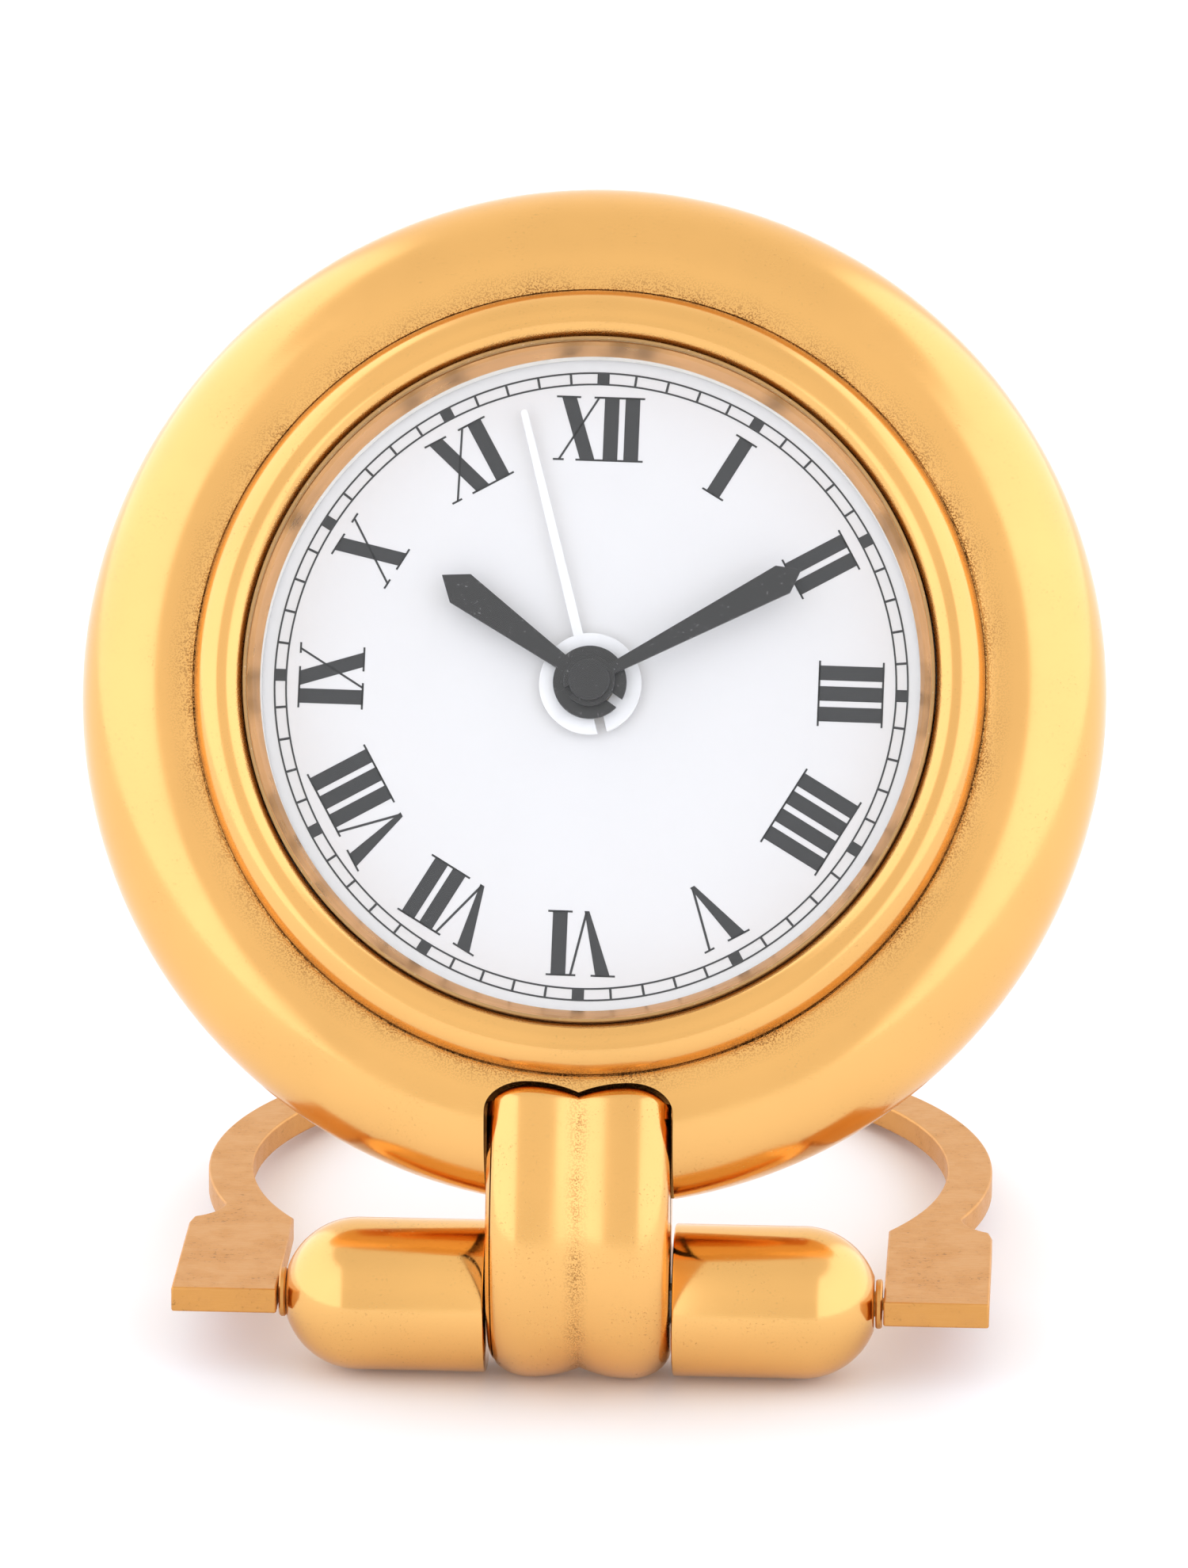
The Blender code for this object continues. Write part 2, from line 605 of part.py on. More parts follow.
def make_stand(stand):
    half = STAND_THICKNESS / 2
    plate = slab(stand_outline(), -half, half)
    ground = Matrix.Rotation(STAND_SLOPE, 3, "X") @ Vector((0, 0, 1))
    foot_point = Matrix.Rotation(STAND_SLOPE, 3, "X") @ Vector((0, 0, -AXIS_HEIGHT))
    bmesh.ops.triangulate(plate, faces=plate.faces)
    everything = list(plate.verts) + list(plate.edges) + list(plate.faces)
    below = bmesh.ops.bisect_plane(
        plate, geom=everything, plane_co=foot_point, plane_no=ground, clear_inner=True, dist=1e-8
    )
    rim = [part for part in below["geom_cut"] if isinstance(part, bmesh.types.BMEdge)]
    bmesh.ops.contextual_create(plate, geom=rim)
    loop = add_node("stand_loop", plate, stand, "aged_gold")
    hole_end = FOOT_INNER + PIN_LENGTH + LOOSE
    for side in (-1, 1):
        ends = sorted((side * (FOOT_INNER - MM), side * hole_end))
        cut(loop, laid_along_x(disc(PIN_RADIUS + SNUG, *ends, 12)))
    for name, turn in (("left", -math.pi / 2), ("right", math.pi / 2)):
        collar_low = BARREL_END + SNUG
        collar_high = FOOT_INNER - SNUG
        profile = [
            (0, ROD_END + LOOSE),
            (PIN_STUB, ROD_END + LOOSE),
            (PIN_STUB, collar_low),
            (COLLAR_RADIUS, collar_low),
            (COLLAR_RADIUS, collar_high),
            (PIN_RADIUS, collar_high),
            (PIN_RADIUS, FOOT_INNER + PIN_LENGTH),
            (0, FOOT_INNER + PIN_LENGTH),
        ]
        pin = turned(profile, COARSE, closed=False)
        add_node("stand_pin_" + name, pin, stand, "aged_gold", turn=(0, turn, 0))


# Hands


def hub_outline(radius, bore, neck):
    """A slotted hub: its slot points down, and its top is left open for the blade's neck."""
    half_slot = HUB_SLOT / 2
    slot_outer = math.degrees(math.asin(half_slot / radius))
    slot_inner = math.degrees(math.asin(half_slot / bore))
    neck_angle = math.degrees(math.asin(neck / 2 / radius))
    right = arc(0, 0, radius, radius, -90 + slot_outer, 90 - neck_angle, 9)
    left = arc(0, 0, radius, radius, 90 + neck_angle, 270 - slot_outer, 9)
    eye = arc(0, 0, bore, bore, 270 - slot_inner, -90 + slot_inner, 12)
    return right, left, eye


def lance(length, width, shoulder):
    """A blade that widens from its hub to a shoulder, then runs to a point."""
    return [(width / 2, length - shoulder), (0, length), (-width / 2, length - shoulder)]


def baton(length, width):
    """A narrow blade with a round tip."""
    return arc(0, length - width / 2, width / 2, width / 2, 0, 180, 4)


def make_hands(head, minute, hour, alarm):
    alarm_low = FIRST_HAND
    hour_low = alarm_low + HAND_STEP
    minute_low = hour_low + HAND_STEP
    blades = (
        ("alarm_hand", alarm, ALARM_HUB, ALARM_PIPE, alarm_low, 0.6 * MM, "hand_white",
         baton(ALARM_LENGTH, 0.45 * MM)),
        ("hour_hand", hour, HOUR_HUB, HOUR_PIPE, hour_low, 1.0 * MM, "hand_black",
         lance(HOUR_LENGTH, 2.2 * MM, 1.43 * MM)),
        ("minute_hand", minute, MINUTE_HUB, ARBOR_RADIUS, minute_low, 0.7 * MM, "hand_black",
         lance(MINUTE_LENGTH, 1.93 * MM, 1.28 * MM)),
    )
    for name, frame, hub, pipe, low, neck, finish, blade in blades:
        right, left, eye = hub_outline(hub, pipe + SNUG, neck)
        hand = slab(right + blade + left + eye, low, low + HAND_THICKNESS)
        add_node(name, hand, frame, finish)
    cap_low = minute_low + HAND_THICKNESS + SNUG
    cap_top = GLASS_HEIGHT - 0.3 * MM
    bore = ARBOR_RADIUS + SNUG
    profile = [
        (0, ARBOR_TOP + SNUG),
        (bore, ARBOR_TOP + SNUG),
        (bore, cap_low),
        (1.3 * MM, cap_low),
        (1.3 * MM, cap_top - 0.1 * MM),
        (1.2 * MM, cap_top),
        (0, cap_top),
    ]
    add_node("hand_cap", turned(profile, 24, closed=False), minute, "hand_black")


# Movement


def wheel_levels(count):
    """Lower and upper height of the wheel that lies count steps behind the alarm wheel."""
    high = -FIRST_WHEEL - count * WHEEL_STEP
    return high - WHEEL_THICKNESS, high


def make_frame_plates(head):
    ledge = -PLATE_DEPTH - PLATE_THICKNESS - SNUG
    outer = CASE_BORE - 2 * SNUG
    plate_radius = outer - 2.2 * MM
    bridge_radius = plate_radius - MM
    profile = [
        (outer, -DIAL_THICKNESS - SEAT),
        (outer, -BRIDGE_DEPTH - BRIDGE_THICKNESS),
        (bridge_radius + SEAT, -BRIDGE_DEPTH - BRIDGE_THICKNESS),
        (bridge_radius + SEAT, ledge),
        (plate_radius + SEAT, ledge),
        (plate_radius + SEAT, -DIAL_THICKNESS - SEAT),
    ]
    add_node("movement_ring", turned(profile, FINE), head, "plastic")
    low = -PLATE_DEPTH - PLATE_THICKNESS
    high = -PLATE_DEPTH
    plate = add_node("main_plate", disc(plate_radius, low, high, MEDIUM), head, "plastic")
    bridge_low = -BRIDGE_DEPTH - BRIDGE_THICKNESS
    bridge = disc(bridge_radius, bridge_low, -BRIDGE_DEPTH, MEDIUM)
    bridge = add_node("train_bridge", bridge, head, "plastic")
    for piece, bottom, top in ((plate, low, high), (bridge, bridge_low, -BRIDGE_DEPTH)):
        bottom -= MM
        top += MM
        drill(piece, [TIME_STEM, ALARM_STEM], STEM_RADIUS + SNUG, bottom, top, 12)
        drill(piece, [(0, 0)], ARBOR_RADIUS + SNUG, bottom, top, 12)
        drill(piece, [TRAIN_PLACE, ROTOR_PLACE], PIVOT + SNUG, bottom, top, 12)
        drill(piece, MOVEMENT_SCREWS, 0.4 * MM + SNUG, bottom, top, 12)
    drill(plate, [MOTION_PLACE], PIVOT + SNUG, low - MM, high + MM, 12)
    drill(bridge, [BATTERY_PLACE], BATTERY_RADIUS + LOOSE, bridge_low - MM, MM - BRIDGE_DEPTH)
    for number, place in enumerate(MOVEMENT_SCREWS, 1):
        make_movement_screw(head, f"movement_screw_{number}", place, bridge_low - SNUG)


def make_movement_screw(head, name, place, under_head):
    top = -PLATE_DEPTH - 0.1 * MM
    shank = 0.4 * MM
    low = under_head - 0.3 * MM
    profile = [(0, low), (0.8 * MM, low), (0.8 * MM, under_head), (shank, under_head)]
    profile += [(shank, top), (0, top)]
    add_node(name, turned(profile, 12, closed=False), head, "steel", place)


def make_wheel(name, frame, teeth, module, levels, turn, finish="brass"):
    low, high = levels
    return add_node(name, gear(teeth, module, low, high), frame, finish, turn=(0, 0, turn))


def make_hand_works(head, minute, hour, alarm, motion, time_knob, alarm_knob):
    """The wheels between the dial and the main plate, from the alarm wheel down to the cannon pinion."""
    alarm_levels = wheel_levels(0)
    hour_levels = wheel_levels(1)
    cannon_levels = wheel_levels(2)
    alarm_wheel = make_wheel(
        "alarm_wheel", alarm, ALARM_TEETH, ALARM_MODULE, alarm_levels, ALARM_TURN
    )
    pipe_top = FIRST_HAND + HAND_THICKNESS
    fuse(alarm_wheel, disc(ALARM_PIPE, alarm_levels[0] + SNUG / 2, pipe_top, 24))
    bore = HOUR_PIPE + SNUG
    cut(alarm_wheel, disc(bore, alarm_levels[0] - MM, pipe_top + MM, 24))

    hour_wheel = make_wheel("hour_wheel", hour, HOUR_TEETH, HOUR_MODULE, hour_levels, HOUR_TURN)
    pipe_top += HAND_STEP
    fuse(hour_wheel, disc(HOUR_PIPE, hour_levels[0] + SNUG / 2, pipe_top, 24))
    bore = ARBOR_RADIUS + SNUG
    cut(hour_wheel, disc(bore, hour_levels[0] - MM, pipe_top + MM, 24))

    arbor = disc(ARBOR_RADIUS, -BRIDGE_DEPTH - BRIDGE_THICKNESS / 2, ARBOR_TOP)
    arbor = add_node("minute_arbor", arbor, minute, "steel", turn=(0, 0, MINUTE_TURN))
    fuse(arbor, gear(CANNON_TEETH, MODULE, *cannon_levels))

    turn = mesh_turn(MOTION_DIRECTION, 0, CANNON_TEETH, MOTION_TEETH)
    wheel = make_wheel("motion_wheel", motion, MOTION_TEETH, MODULE, cannon_levels, turn, "plastic")
    pinion_turn = mesh_turn(MOTION_DIRECTION, 0, HOUR_TEETH, MOTION_PINION_TEETH) - turn
    pinion = gear(MOTION_PINION_TEETH, HOUR_MODULE, cannon_levels[1] - SNUG, hour_levels[1] + SNUG / 2)
    bmesh.ops.rotate(pinion, verts=pinion.verts, matrix=Matrix.Rotation(pinion_turn, 3, "Z"))
    post = disc(PIVOT, -PLATE_DEPTH - PLATE_THICKNESS / 2, cannon_levels[0] + SNUG, 12)
    fuse(wheel, pinion, post)

    direction = math.atan2(TIME_STEM.y - MOTION_PLACE.y, TIME_STEM.x - MOTION_PLACE.x)
    setting_turn = mesh_turn(direction, turn, MOTION_TEETH, SETTING_TEETH)
    make_stem("time_stem", time_knob, SETTING_TEETH, MODULE, cannon_levels, setting_turn)
    turn = mesh_turn(ALARM_DIRECTION, 0, ALARM_TEETH, ALARM_PINION_TEETH)
    make_stem("alarm_stem", alarm_knob, ALARM_PINION_TEETH, ALARM_MODULE, alarm_levels, turn)
    make_knob("time_knob", time_knob)
    make_knob("alarm_knob", alarm_knob)


def make_stem(name, frame, teeth, module, levels, turn):
    stem = disc(STEM_RADIUS, -STEM_END, levels[0] + SNUG, 16)
    stem = add_node(name, stem, frame, "steel", turn=(0, 0, turn))
    fuse(stem, gear(teeth, module, *levels))


def make_knob(name, frame):
    """A fluted knob with a blind bore for its stem."""
    high = -BACK_DEPTH - LOOSE
    low = high - KNOB_HEIGHT
    outline = []
    for flute in range(KNOB_FLUTES):
        for share, depth in ((-0.3, 0), (0.3, 0), (0.5, 0.25 * MM)):
            point = polar(KNOB_RADIUS - depth, (flute + share) * 2 * math.pi / KNOB_FLUTES)
            outline.append((point.x, point.y))
    knob = add_node(name, slab(outline, low, high), frame, "gold")
    cut(knob, disc(STEM_RADIUS + SNUG, -STEM_END - SNUG, high + MM, 16))


def make_train(head, centre, intermediate, rotor):
    """The going train: a rotor that steps, an intermediate wheel and the centre wheel."""
    lower = (-4.2 * MM, -3.9 * MM)
    upper = (-3.55 * MM, -3.25 * MM)
    top = -PLATE_DEPTH - PLATE_THICKNESS / 2
    bottom = -BRIDGE_DEPTH - BRIDGE_THICKNESS / 2
    wheel = make_wheel("centre_wheel", centre, CENTRE_TEETH, TRAIN_MODULE, lower, 0)
    cut(wheel, disc(ARBOR_RADIUS + SNUG, lower[0] - MM, lower[1] + MM, 16))
    turn = mesh_turn(TRAIN_DIRECTION, 0, CENTRE_TEETH, TRAIN_PINION_TEETH)
    post = disc(PIVOT, bottom, top, 12)
    wheel = add_node("intermediate_wheel", post, intermediate, "brass", turn=(0, 0, turn))
    fuse(wheel, gear(TRAIN_PINION_TEETH, TRAIN_MODULE, lower[0] - SNUG / 2, lower[1] + SNUG / 2))
    fuse(wheel, gear(INTERMEDIATE_TEETH, TRAIN_MODULE, *upper))
    turn = mesh_turn(ROTOR_DIRECTION, turn, INTERMEDIATE_TEETH, TRAIN_PINION_TEETH)
    magnet = add_node("rotor", disc(PIVOT, bottom, top, 12), rotor, "steel", turn=(0, 0, turn))
    fuse(magnet, gear(TRAIN_PINION_TEETH, TRAIN_MODULE, upper[0] - SNUG / 2, upper[1] + SNUG / 2))
    fuse(magnet, disc(1.15 * MM, lower[0], upper[0] - SNUG, COARSE))


def make_electrics(head):
    """Coil and stator, circuit board, battery with its contacts, and the buzzer."""
    legs_y = ROTOR_PLACE.y + 5.4 * MM
    left = ROTOR_PLACE.x - 6.4 * MM
    right = ROTOR_PLACE.x + 6.0 * MM
    base_low = ROTOR_PLACE.y - 2.2 * MM
    base_high = ROTOR_PLACE.y + 2.2 * MM
    leg = 1.6 * MM
    outline = [
        (left, base_low), (right, base_low), (right, legs_y), (right - leg, legs_y),
        (right - leg, base_high), (left + leg, base_high), (left + leg, legs_y), (left, legs_y),
    ]
    stator = add_node("stator", slab(outline, -4.1 * MM, -3.75 * MM), head, "steel")
    drill(stator, [ROTOR_PLACE], 1.45 * MM, -5 * MM, -3 * MM)
    half = (right - left) / 2 - leg - SEAT
    flange = 0.4 * MM
    profile = [
        (0, -half), (0.8 * MM, -half), (0.8 * MM, flange - half), (0.6 * MM, flange - half),
        (0.6 * MM, half - flange), (0.8 * MM, half - flange), (0.8 * MM, half), (0, half),
    ]
    coil = laid_along_x(turned(profile, 16, closed=False))
    place = ((left + right) / 2, legs_y - 0.9 * MM, -3.95 * MM)
    add_node("coil", coil, head, "winding", place)

    board_low = -3.7 * MM
    outline = [
        (-13.6 * MM, 4.6 * MM), (-3.6 * MM, 4.6 * MM), (-3.6 * MM, 14.0 * MM),
        (-11.0 * MM, 14.0 * MM), (-13.6 * MM, 11.4 * MM),
    ]
    add_node("circuit_board", slab(outline, board_low, -3.2 * MM), head, "green_board")
    chip_top = board_low - SNUG
    chip = box(-8.6 * MM, -5.4 * MM, 9.0 * MM, 12.2 * MM, chip_top - 0.7 * MM, chip_top)
    add_node("circuit_chip", chip, head, "black_plastic")
    can = disc(0.5 * MM, -2.5 * MM, 2.5 * MM, 12)
    add_node("quartz_can", laid_along_x(can), head, "steel", (-8.6 * MM, 6.6 * MM, -4.32 * MM))

    battery_low = -WALL + SEAT
    top = battery_low + BATTERY_THICKNESS
    step = 0.25 * MM
    profile = [
        (0, battery_low), (BATTERY_RADIUS - step, battery_low), (BATTERY_RADIUS, battery_low + step),
        (BATTERY_RADIUS, top - step), (BATTERY_RADIUS - step, top - step),
        (BATTERY_RADIUS - step, top), (0, top),
    ]
    add_node("battery", turned(profile, 32, closed=False), head, "steel", BATTERY_PLACE)
    leaf = box(-1.2 * MM, 1.2 * MM, -13.5 * MM, -6.9 * MM, top + SEAT, top + SEAT + 0.15 * MM)
    add_node("battery_contact_negative", leaf, head, "brass")
    inner = BATTERY_RADIUS + LOOSE
    outline = arc(0, 0, inner, inner, 100, 200, 10)
    outline += reversed(arc(0, 0, inner + 0.2 * MM, inner + 0.2 * MM, 100, 200, 10))
    strip = slab(outline, -BRIDGE_DEPTH + SEAT, -PLATE_DEPTH - PLATE_THICKNESS - SEAT)
    add_node("battery_contact_positive", strip, head, "brass", BATTERY_PLACE)
    low = -WALL + SNUG
    add_node("buzzer_disc", disc(7.5 * MM, low, low + 0.25 * MM, 32), head, "brass", BUZZER_PLACE)
    leaf = box(2.2 * MM, 9.4 * MM, -6.6 * MM, -5.4 * MM, -2.15 * MM, -2.0 * MM)
    add_node("alarm_leaf", leaf, head, "brass")


def switch_half(part):
    """Half lengths and half widths of the alarm switch's pieces."""
    return {
        "plate": (3.2 * MM, 1.0 * MM),
        "neck": (1.0 * MM, 0.6 * MM),
        "button": (1.7 * MM, 0.9 * MM),
    }[part]


def make_switch(frame):
    def block(part, low, high):
        half_x, half_y = switch_half(part)
        return box(-half_x, half_x, -half_y, half_y, low, high)

    plate_low = -WALL + SNUG
    button_top = -BACK_DEPTH - SNUG
    plate = block("plate", plate_low, plate_low + 0.25 * MM)
    switch = add_node("alarm_switch", plate, frame, "gold")
    fuse(switch, block("neck", button_top - SNUG, plate_low + SNUG))
    fuse(switch, block("button", button_top - 0.8 * MM, button_top))


def make_hatch(frame):
    """The battery's round lid, with a coin slot outside and two lugs that turn behind the cover."""
    lid = disc(HATCH_RADIUS, -BACK_DEPTH, -WALL, MEDIUM)
    hatch = add_node("battery_hatch", lid, frame, "gold")
    lug_start = BATTERY_RADIUS + LOOSE
    lug_end = HATCH_RADIUS + 0.6 * MM
    lug_low = -WALL + SNUG
    lug_high = lug_low + 0.25 * MM
    half = 1.2 * MM
    for side in (-1, 1):
        neck = sorted((side * lug_start, side * (HATCH_RADIUS - LOOSE)))
        fuse(hatch, box(-half, half, *neck, -WALL - SNUG, lug_low + SNUG))
        lug = sorted((side * lug_start, side * lug_end))
        fuse(hatch, box(-half, half, *lug, lug_low, lug_high))
    cut(hatch, box(-4 * MM, 4 * MM, -0.6 * MM, 0.6 * MM, -BACK_DEPTH - MM, -BACK_DEPTH + 0.4 * MM))


def make_clock():
    clear_scene()
    tilt = (math.pi / 2 - LEAN, 0, 0)
    axis_place = Vector((0, AXIS_Y, AXIS_HEIGHT))
    up = Vector((0, math.sin(LEAN), math.cos(LEAN)))
    out = Vector((0, -math.cos(LEAN), math.sin(LEAN)))
    head_place = axis_place + up * AXIS_DROP + out * AXIS_DEPTH
    head = add_frame("head", head_place, tilt)
    axle = add_frame("axle", axis_place, (0, 0, 0))
    stand = add_frame("stand", axis_place, (-STAND_SLOPE, 0, 0))

    def on_head(name, place=(0, 0, 0), turn=0.0):
        frame = add_frame(name, place, (0, 0, turn))
        frame.parent = head
        return frame

    minute = on_head("minute", turn=-MINUTE_TURN)
    hour = on_head("hour", turn=-HOUR_TURN)
    alarm = on_head("alarm", turn=-ALARM_TURN)
    motion = on_head("motion", MOTION_PLACE)
    time_knob = on_head("time_setting", TIME_STEM)
    alarm_knob = on_head("alarm_setting", ALARM_STEM)
    make_case_ring(head)
    make_inner_bezel(head)
    make_crystal(head)
    make_dial(head)
    make_back(head)
    make_strap(head)
    make_barrel(axle)
    make_stand(stand)
    make_hands(head, minute, hour, alarm)
    make_frame_plates(head)
    make_hand_works(head, minute, hour, alarm, motion, time_knob, alarm_knob)
    make_train(head, on_head("centre"), on_head("train", TRAIN_PLACE), on_head("step", ROTOR_PLACE))
    make_electrics(head)
    make_switch(on_head("switch", SWITCH_PLACE))
    make_hatch(on_head("hatch", BATTERY_PLACE))


make_clock()
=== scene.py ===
"""Looks of a folding travel alarm clock: fine meshes, finishes, floor, light and camera round its solids."""

import json
import math

import bpy
from bpy.props import FloatProperty, FloatVectorProperty, IntProperty, PointerProperty
from mathutils import Matrix, Vector

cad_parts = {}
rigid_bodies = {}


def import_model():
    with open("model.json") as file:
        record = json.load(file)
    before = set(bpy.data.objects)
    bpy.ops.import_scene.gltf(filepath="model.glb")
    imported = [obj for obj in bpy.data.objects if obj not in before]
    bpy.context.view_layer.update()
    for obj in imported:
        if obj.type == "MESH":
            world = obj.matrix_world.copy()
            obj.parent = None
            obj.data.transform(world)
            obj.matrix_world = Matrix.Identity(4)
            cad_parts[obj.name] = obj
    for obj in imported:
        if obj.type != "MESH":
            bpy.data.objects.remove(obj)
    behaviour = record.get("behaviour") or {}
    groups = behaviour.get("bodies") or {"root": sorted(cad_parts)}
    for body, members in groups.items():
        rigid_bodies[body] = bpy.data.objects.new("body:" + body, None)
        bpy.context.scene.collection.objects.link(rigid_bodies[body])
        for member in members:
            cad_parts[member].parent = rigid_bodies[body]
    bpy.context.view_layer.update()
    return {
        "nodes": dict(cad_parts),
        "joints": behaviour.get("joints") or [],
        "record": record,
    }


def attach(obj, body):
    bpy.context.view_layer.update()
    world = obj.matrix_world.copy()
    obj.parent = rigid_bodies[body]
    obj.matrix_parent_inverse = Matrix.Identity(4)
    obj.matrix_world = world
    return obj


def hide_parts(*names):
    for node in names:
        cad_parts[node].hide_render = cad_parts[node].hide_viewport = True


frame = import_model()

bl_info = {
    "name": "Travel alarm clock",
    "version": (1, 0, 0),
    "blender": (4, 5, 0),
    "location": "View3D > Sidebar > Clock",
    "description": "Builds a gold travel alarm clock with a folding stand",
    "category": "Add Mesh",
}

MM = 0.001
GAP = 0.1 * MM  # between pieces that fit in each other
SINK_RADIUS = 1.2 * MM  # recess for a screw's head
SINK_DEPTH = 0.6 * MM
SIDES = (("left", -1), ("right", 1))


# Places from the frame


def joint(name):
    return next(entry for entry in frame["joints"] if entry["name"] == name)


ACROSS = Vector((1, 0, 0))
OUT = Vector(joint("minute_turn")["axis"]).normalized()
UP = OUT.cross(ACROSS)
DIAL_CENTRE = Vector(joint("minute_turn")["pos_m"])
AXLE = Vector(joint("stand_fold")["pos_m"])
LEAN = math.asin(OUT.z)
HEAD = Matrix.Translation(DIAL_CENTRE) @ Matrix((ACROSS, UP, OUT)).transposed().to_4x4()
STAND_SLOPE = math.radians(joint("stand_fold")["range_deg"][1]) - (math.pi / 2 - LEAN)
STAND = Matrix.Translation(AXLE) @ Matrix.Rotation(-STAND_SLOPE, 4, "X")
BARREL_AXIS = HEAD.inverted() @ AXLE  # in the head's frame


def corners(node, place=HEAD):
    """Corners of a node's solid, in the frame that a place gives."""
    inward = place.inverted()
    return [inward @ vertex.co for vertex in frame["nodes"][node].data.vertices]


def span(node, place=HEAD):
    """Lowest and highest corner of a node's solid, in the frame that a place gives."""
    points = corners(node, place)
    low = Vector([min(point[axis] for point in points) for axis in range(3)])
    high = Vector([max(point[axis] for point in points) for axis in range(3)])
    return low, high


def middle(node):
    low, high = span(node)
    return (low + high) / 2


def smallest_radius(node):
    """Radius of the bore of a round node."""
    return min(math.hypot(point.x, point.y) for point in corners(node))


RING_RADIUS = span("case_ring")[1].x
RING_TOP = span("case_ring")[1].z
BACK = span("case_ring")[0].z
BEAD_RADIUS = span("inner_bezel")[1].x
BEAD_TOP = span("inner_bezel")[1].z
BEAD_BORE = smallest_radius("inner_bezel")
COVER_RADIUS = span("back_cover")[1].x
COVER_FACE = span("back_cover")[1].z
GLASS_RADIUS = span("crystal")[1].x
GLASS_LOW = span("crystal")[0].z
GLASS_TOP = span("crystal")[1].z
DIAL_RADIUS = span("dial")[1].x
FLANGE_RADIUS = span("dial_flange")[1].x
FLANGE_BORE = smallest_radius("dial_flange")
FLANGE_TOP = span("dial_flange")[1].z
STRAP_HALF = span("strap")[1].x
STRAP_FACE = span("strap")[1].z
STRAP_TOP = span("strap")[1].y
ALONG_BARREL = Matrix.Rotation(math.pi / 2, 4, "Y")
STRAP_SEAT = span("case_ring")[0].y - 0.6 * MM
BARREL_RADIUS = span("barrel_right", STAND)[1].z
BARREL_START = span("barrel_right", STAND)[0].x
BARREL_END = span("barrel_right", STAND)[1].x
STAND_HALF = span("stand_loop", STAND)[1].z
STAND_REACH = span("stand_loop", STAND)[1].y
FOOT_FRONT = -span("stand_loop", STAND)[0].y
FOOT_OUTER = span("stand_loop", STAND)[1].x


# Sizes and colours that a user would change


def length(name, description, millimetres):
    return FloatProperty(
        name=name, description=description, default=millimetres * MM, min=0, unit="LENGTH", precision=5
    )


def colour(name, description, default):
    return FloatVectorProperty(
        name=name, description=description, default=default, min=0, max=1, size=3, subtype="COLOR"
    )


def angle(name, description, degrees):
    default = math.radians(degrees)
    return FloatProperty(name=name, description=description, default=default, subtype="ANGLE")


class ClockSizes(bpy.types.PropertyGroup):
    sides: IntProperty(name="Sides", description="Sides of the big round pieces", default=192, min=24)
    small_sides: IntProperty(name="Small sides", description="Sides of small pieces", default=48, min=12)
    ring_section: length("Ring section", "Radius of the case ring's round section", 6.0)
    bead_crest: length("Bead crest", "From the bead's outside in to its top", 1.8)
    lobe_crest: length("Lobe crest", "From the strap's middle to the top of a lobe", 3.1)
    lobe_groove: length("Lobe groove", "Depth of the groove between the lobes", 0.65)
    lobe_shoulder: length("Lobe shoulder", "Drop of a lobe's outer shoulder", 1.9)
    strap_bend: length("Strap bend", "Radius of the bend at the strap's top end", 1.0)
    strap_straight: length("Strap straight", "Over the barrel's axis, where the straight front ends", 6.2)
    strap_wrap: length("Strap wrap", "Radius of the strap round the barrel", 5.0)
    strap_depth: length("Strap depth", "Back of the strap behind the dial's face", 5.0)
    numeral_foot: length("Numeral foot", "From the middle of the dial to the numerals' feet", 14.2)
    numeral_height: length("Numeral height", "Height of the hour numerals", 4.1)
    thick_stroke: length("Thick stroke", "Width of the numerals' thick strokes", 0.92)
    thin_stroke: length("Thin stroke", "Width of the numerals' thin strokes", 0.15)
    track_inner: length("Track inside", "Radius of the minute track's inner line", 19.08)
    track_outer: length("Track outside", "Radius of the minute track's outer line", 19.8)
    ink: length("Ink", "Height of the printing over the dial", 0.02)
    hand_thickness: length("Hand thickness", "Thickness of the hands", 0.3)


class ClockColours(bpy.types.PropertyGroup):
    gold: colour("Gold", "Polished gold plate", (0.83, 0.465, 0.152))
    aged: colour("Aged gold", "Brushed and tarnished gold plate", (0.63, 0.305, 0.085))
    copper: colour("Copper", "Coppery rim round the dial", (0.88, 0.47, 0.19))
    tarnish: colour("Tarnish", "Brown specks on the gold", (0.22, 0.10, 0.03))
    lacquer: colour("Lacquer", "White of the dial", (0.745, 0.74, 0.735))
    ink: colour("Ink", "Printing on the dial", (0.016, 0.017, 0.019))
    hand: colour("Hands", "Black of the hands", (0.010, 0.010, 0.011))
    steel: colour("Steel", "Screws and arbors", (0.60, 0.61, 0.63))
    brass: colour("Brass", "Wheels inside", (0.75, 0.55, 0.22))
    plastic: colour("Plastic", "Moulded frame of the movement", (0.80, 0.79, 0.75))
    board: colour("Board", "Circuit board", (0.03, 0.20, 0.08))
    winding: colour("Winding", "Enamelled wire", (0.60, 0.22, 0.09))
    gasket: colour("Gasket", "Seals", (0.42, 0.23, 0.07))


def sizes():
    return bpy.context.scene.clock_sizes


def colours():
    return bpy.context.scene.clock_colours


# Modelling


def deselect():
    bpy.ops.object.select_all(action="DESELECT")


def select(piece):
    """Makes a piece the only selected one, and the active one."""
    deselect()
    piece.select_set(True)
    bpy.context.view_layer.objects.active = piece


def start(name, point):
    """Starts a piece as one vertex, in edit mode."""
    deselect()
    bpy.ops.mesh.primitive_plane_add(size=MM, location=(0, 0, 0))
    piece = bpy.context.object
    piece.name = name
    piece.data.name = name
    bpy.ops.object.mode_set(mode="EDIT")
    bpy.ops.mesh.merge(type="CENTER")
    bpy.ops.transform.translate(value=point)
    return piece


def draw(points):
    """Extrudes the selected vertex from point to point."""
    for here, there in zip(points, points[1:]):
        bpy.ops.mesh.extrude_region_move(TRANSFORM_OT_translate={"value": there - here})


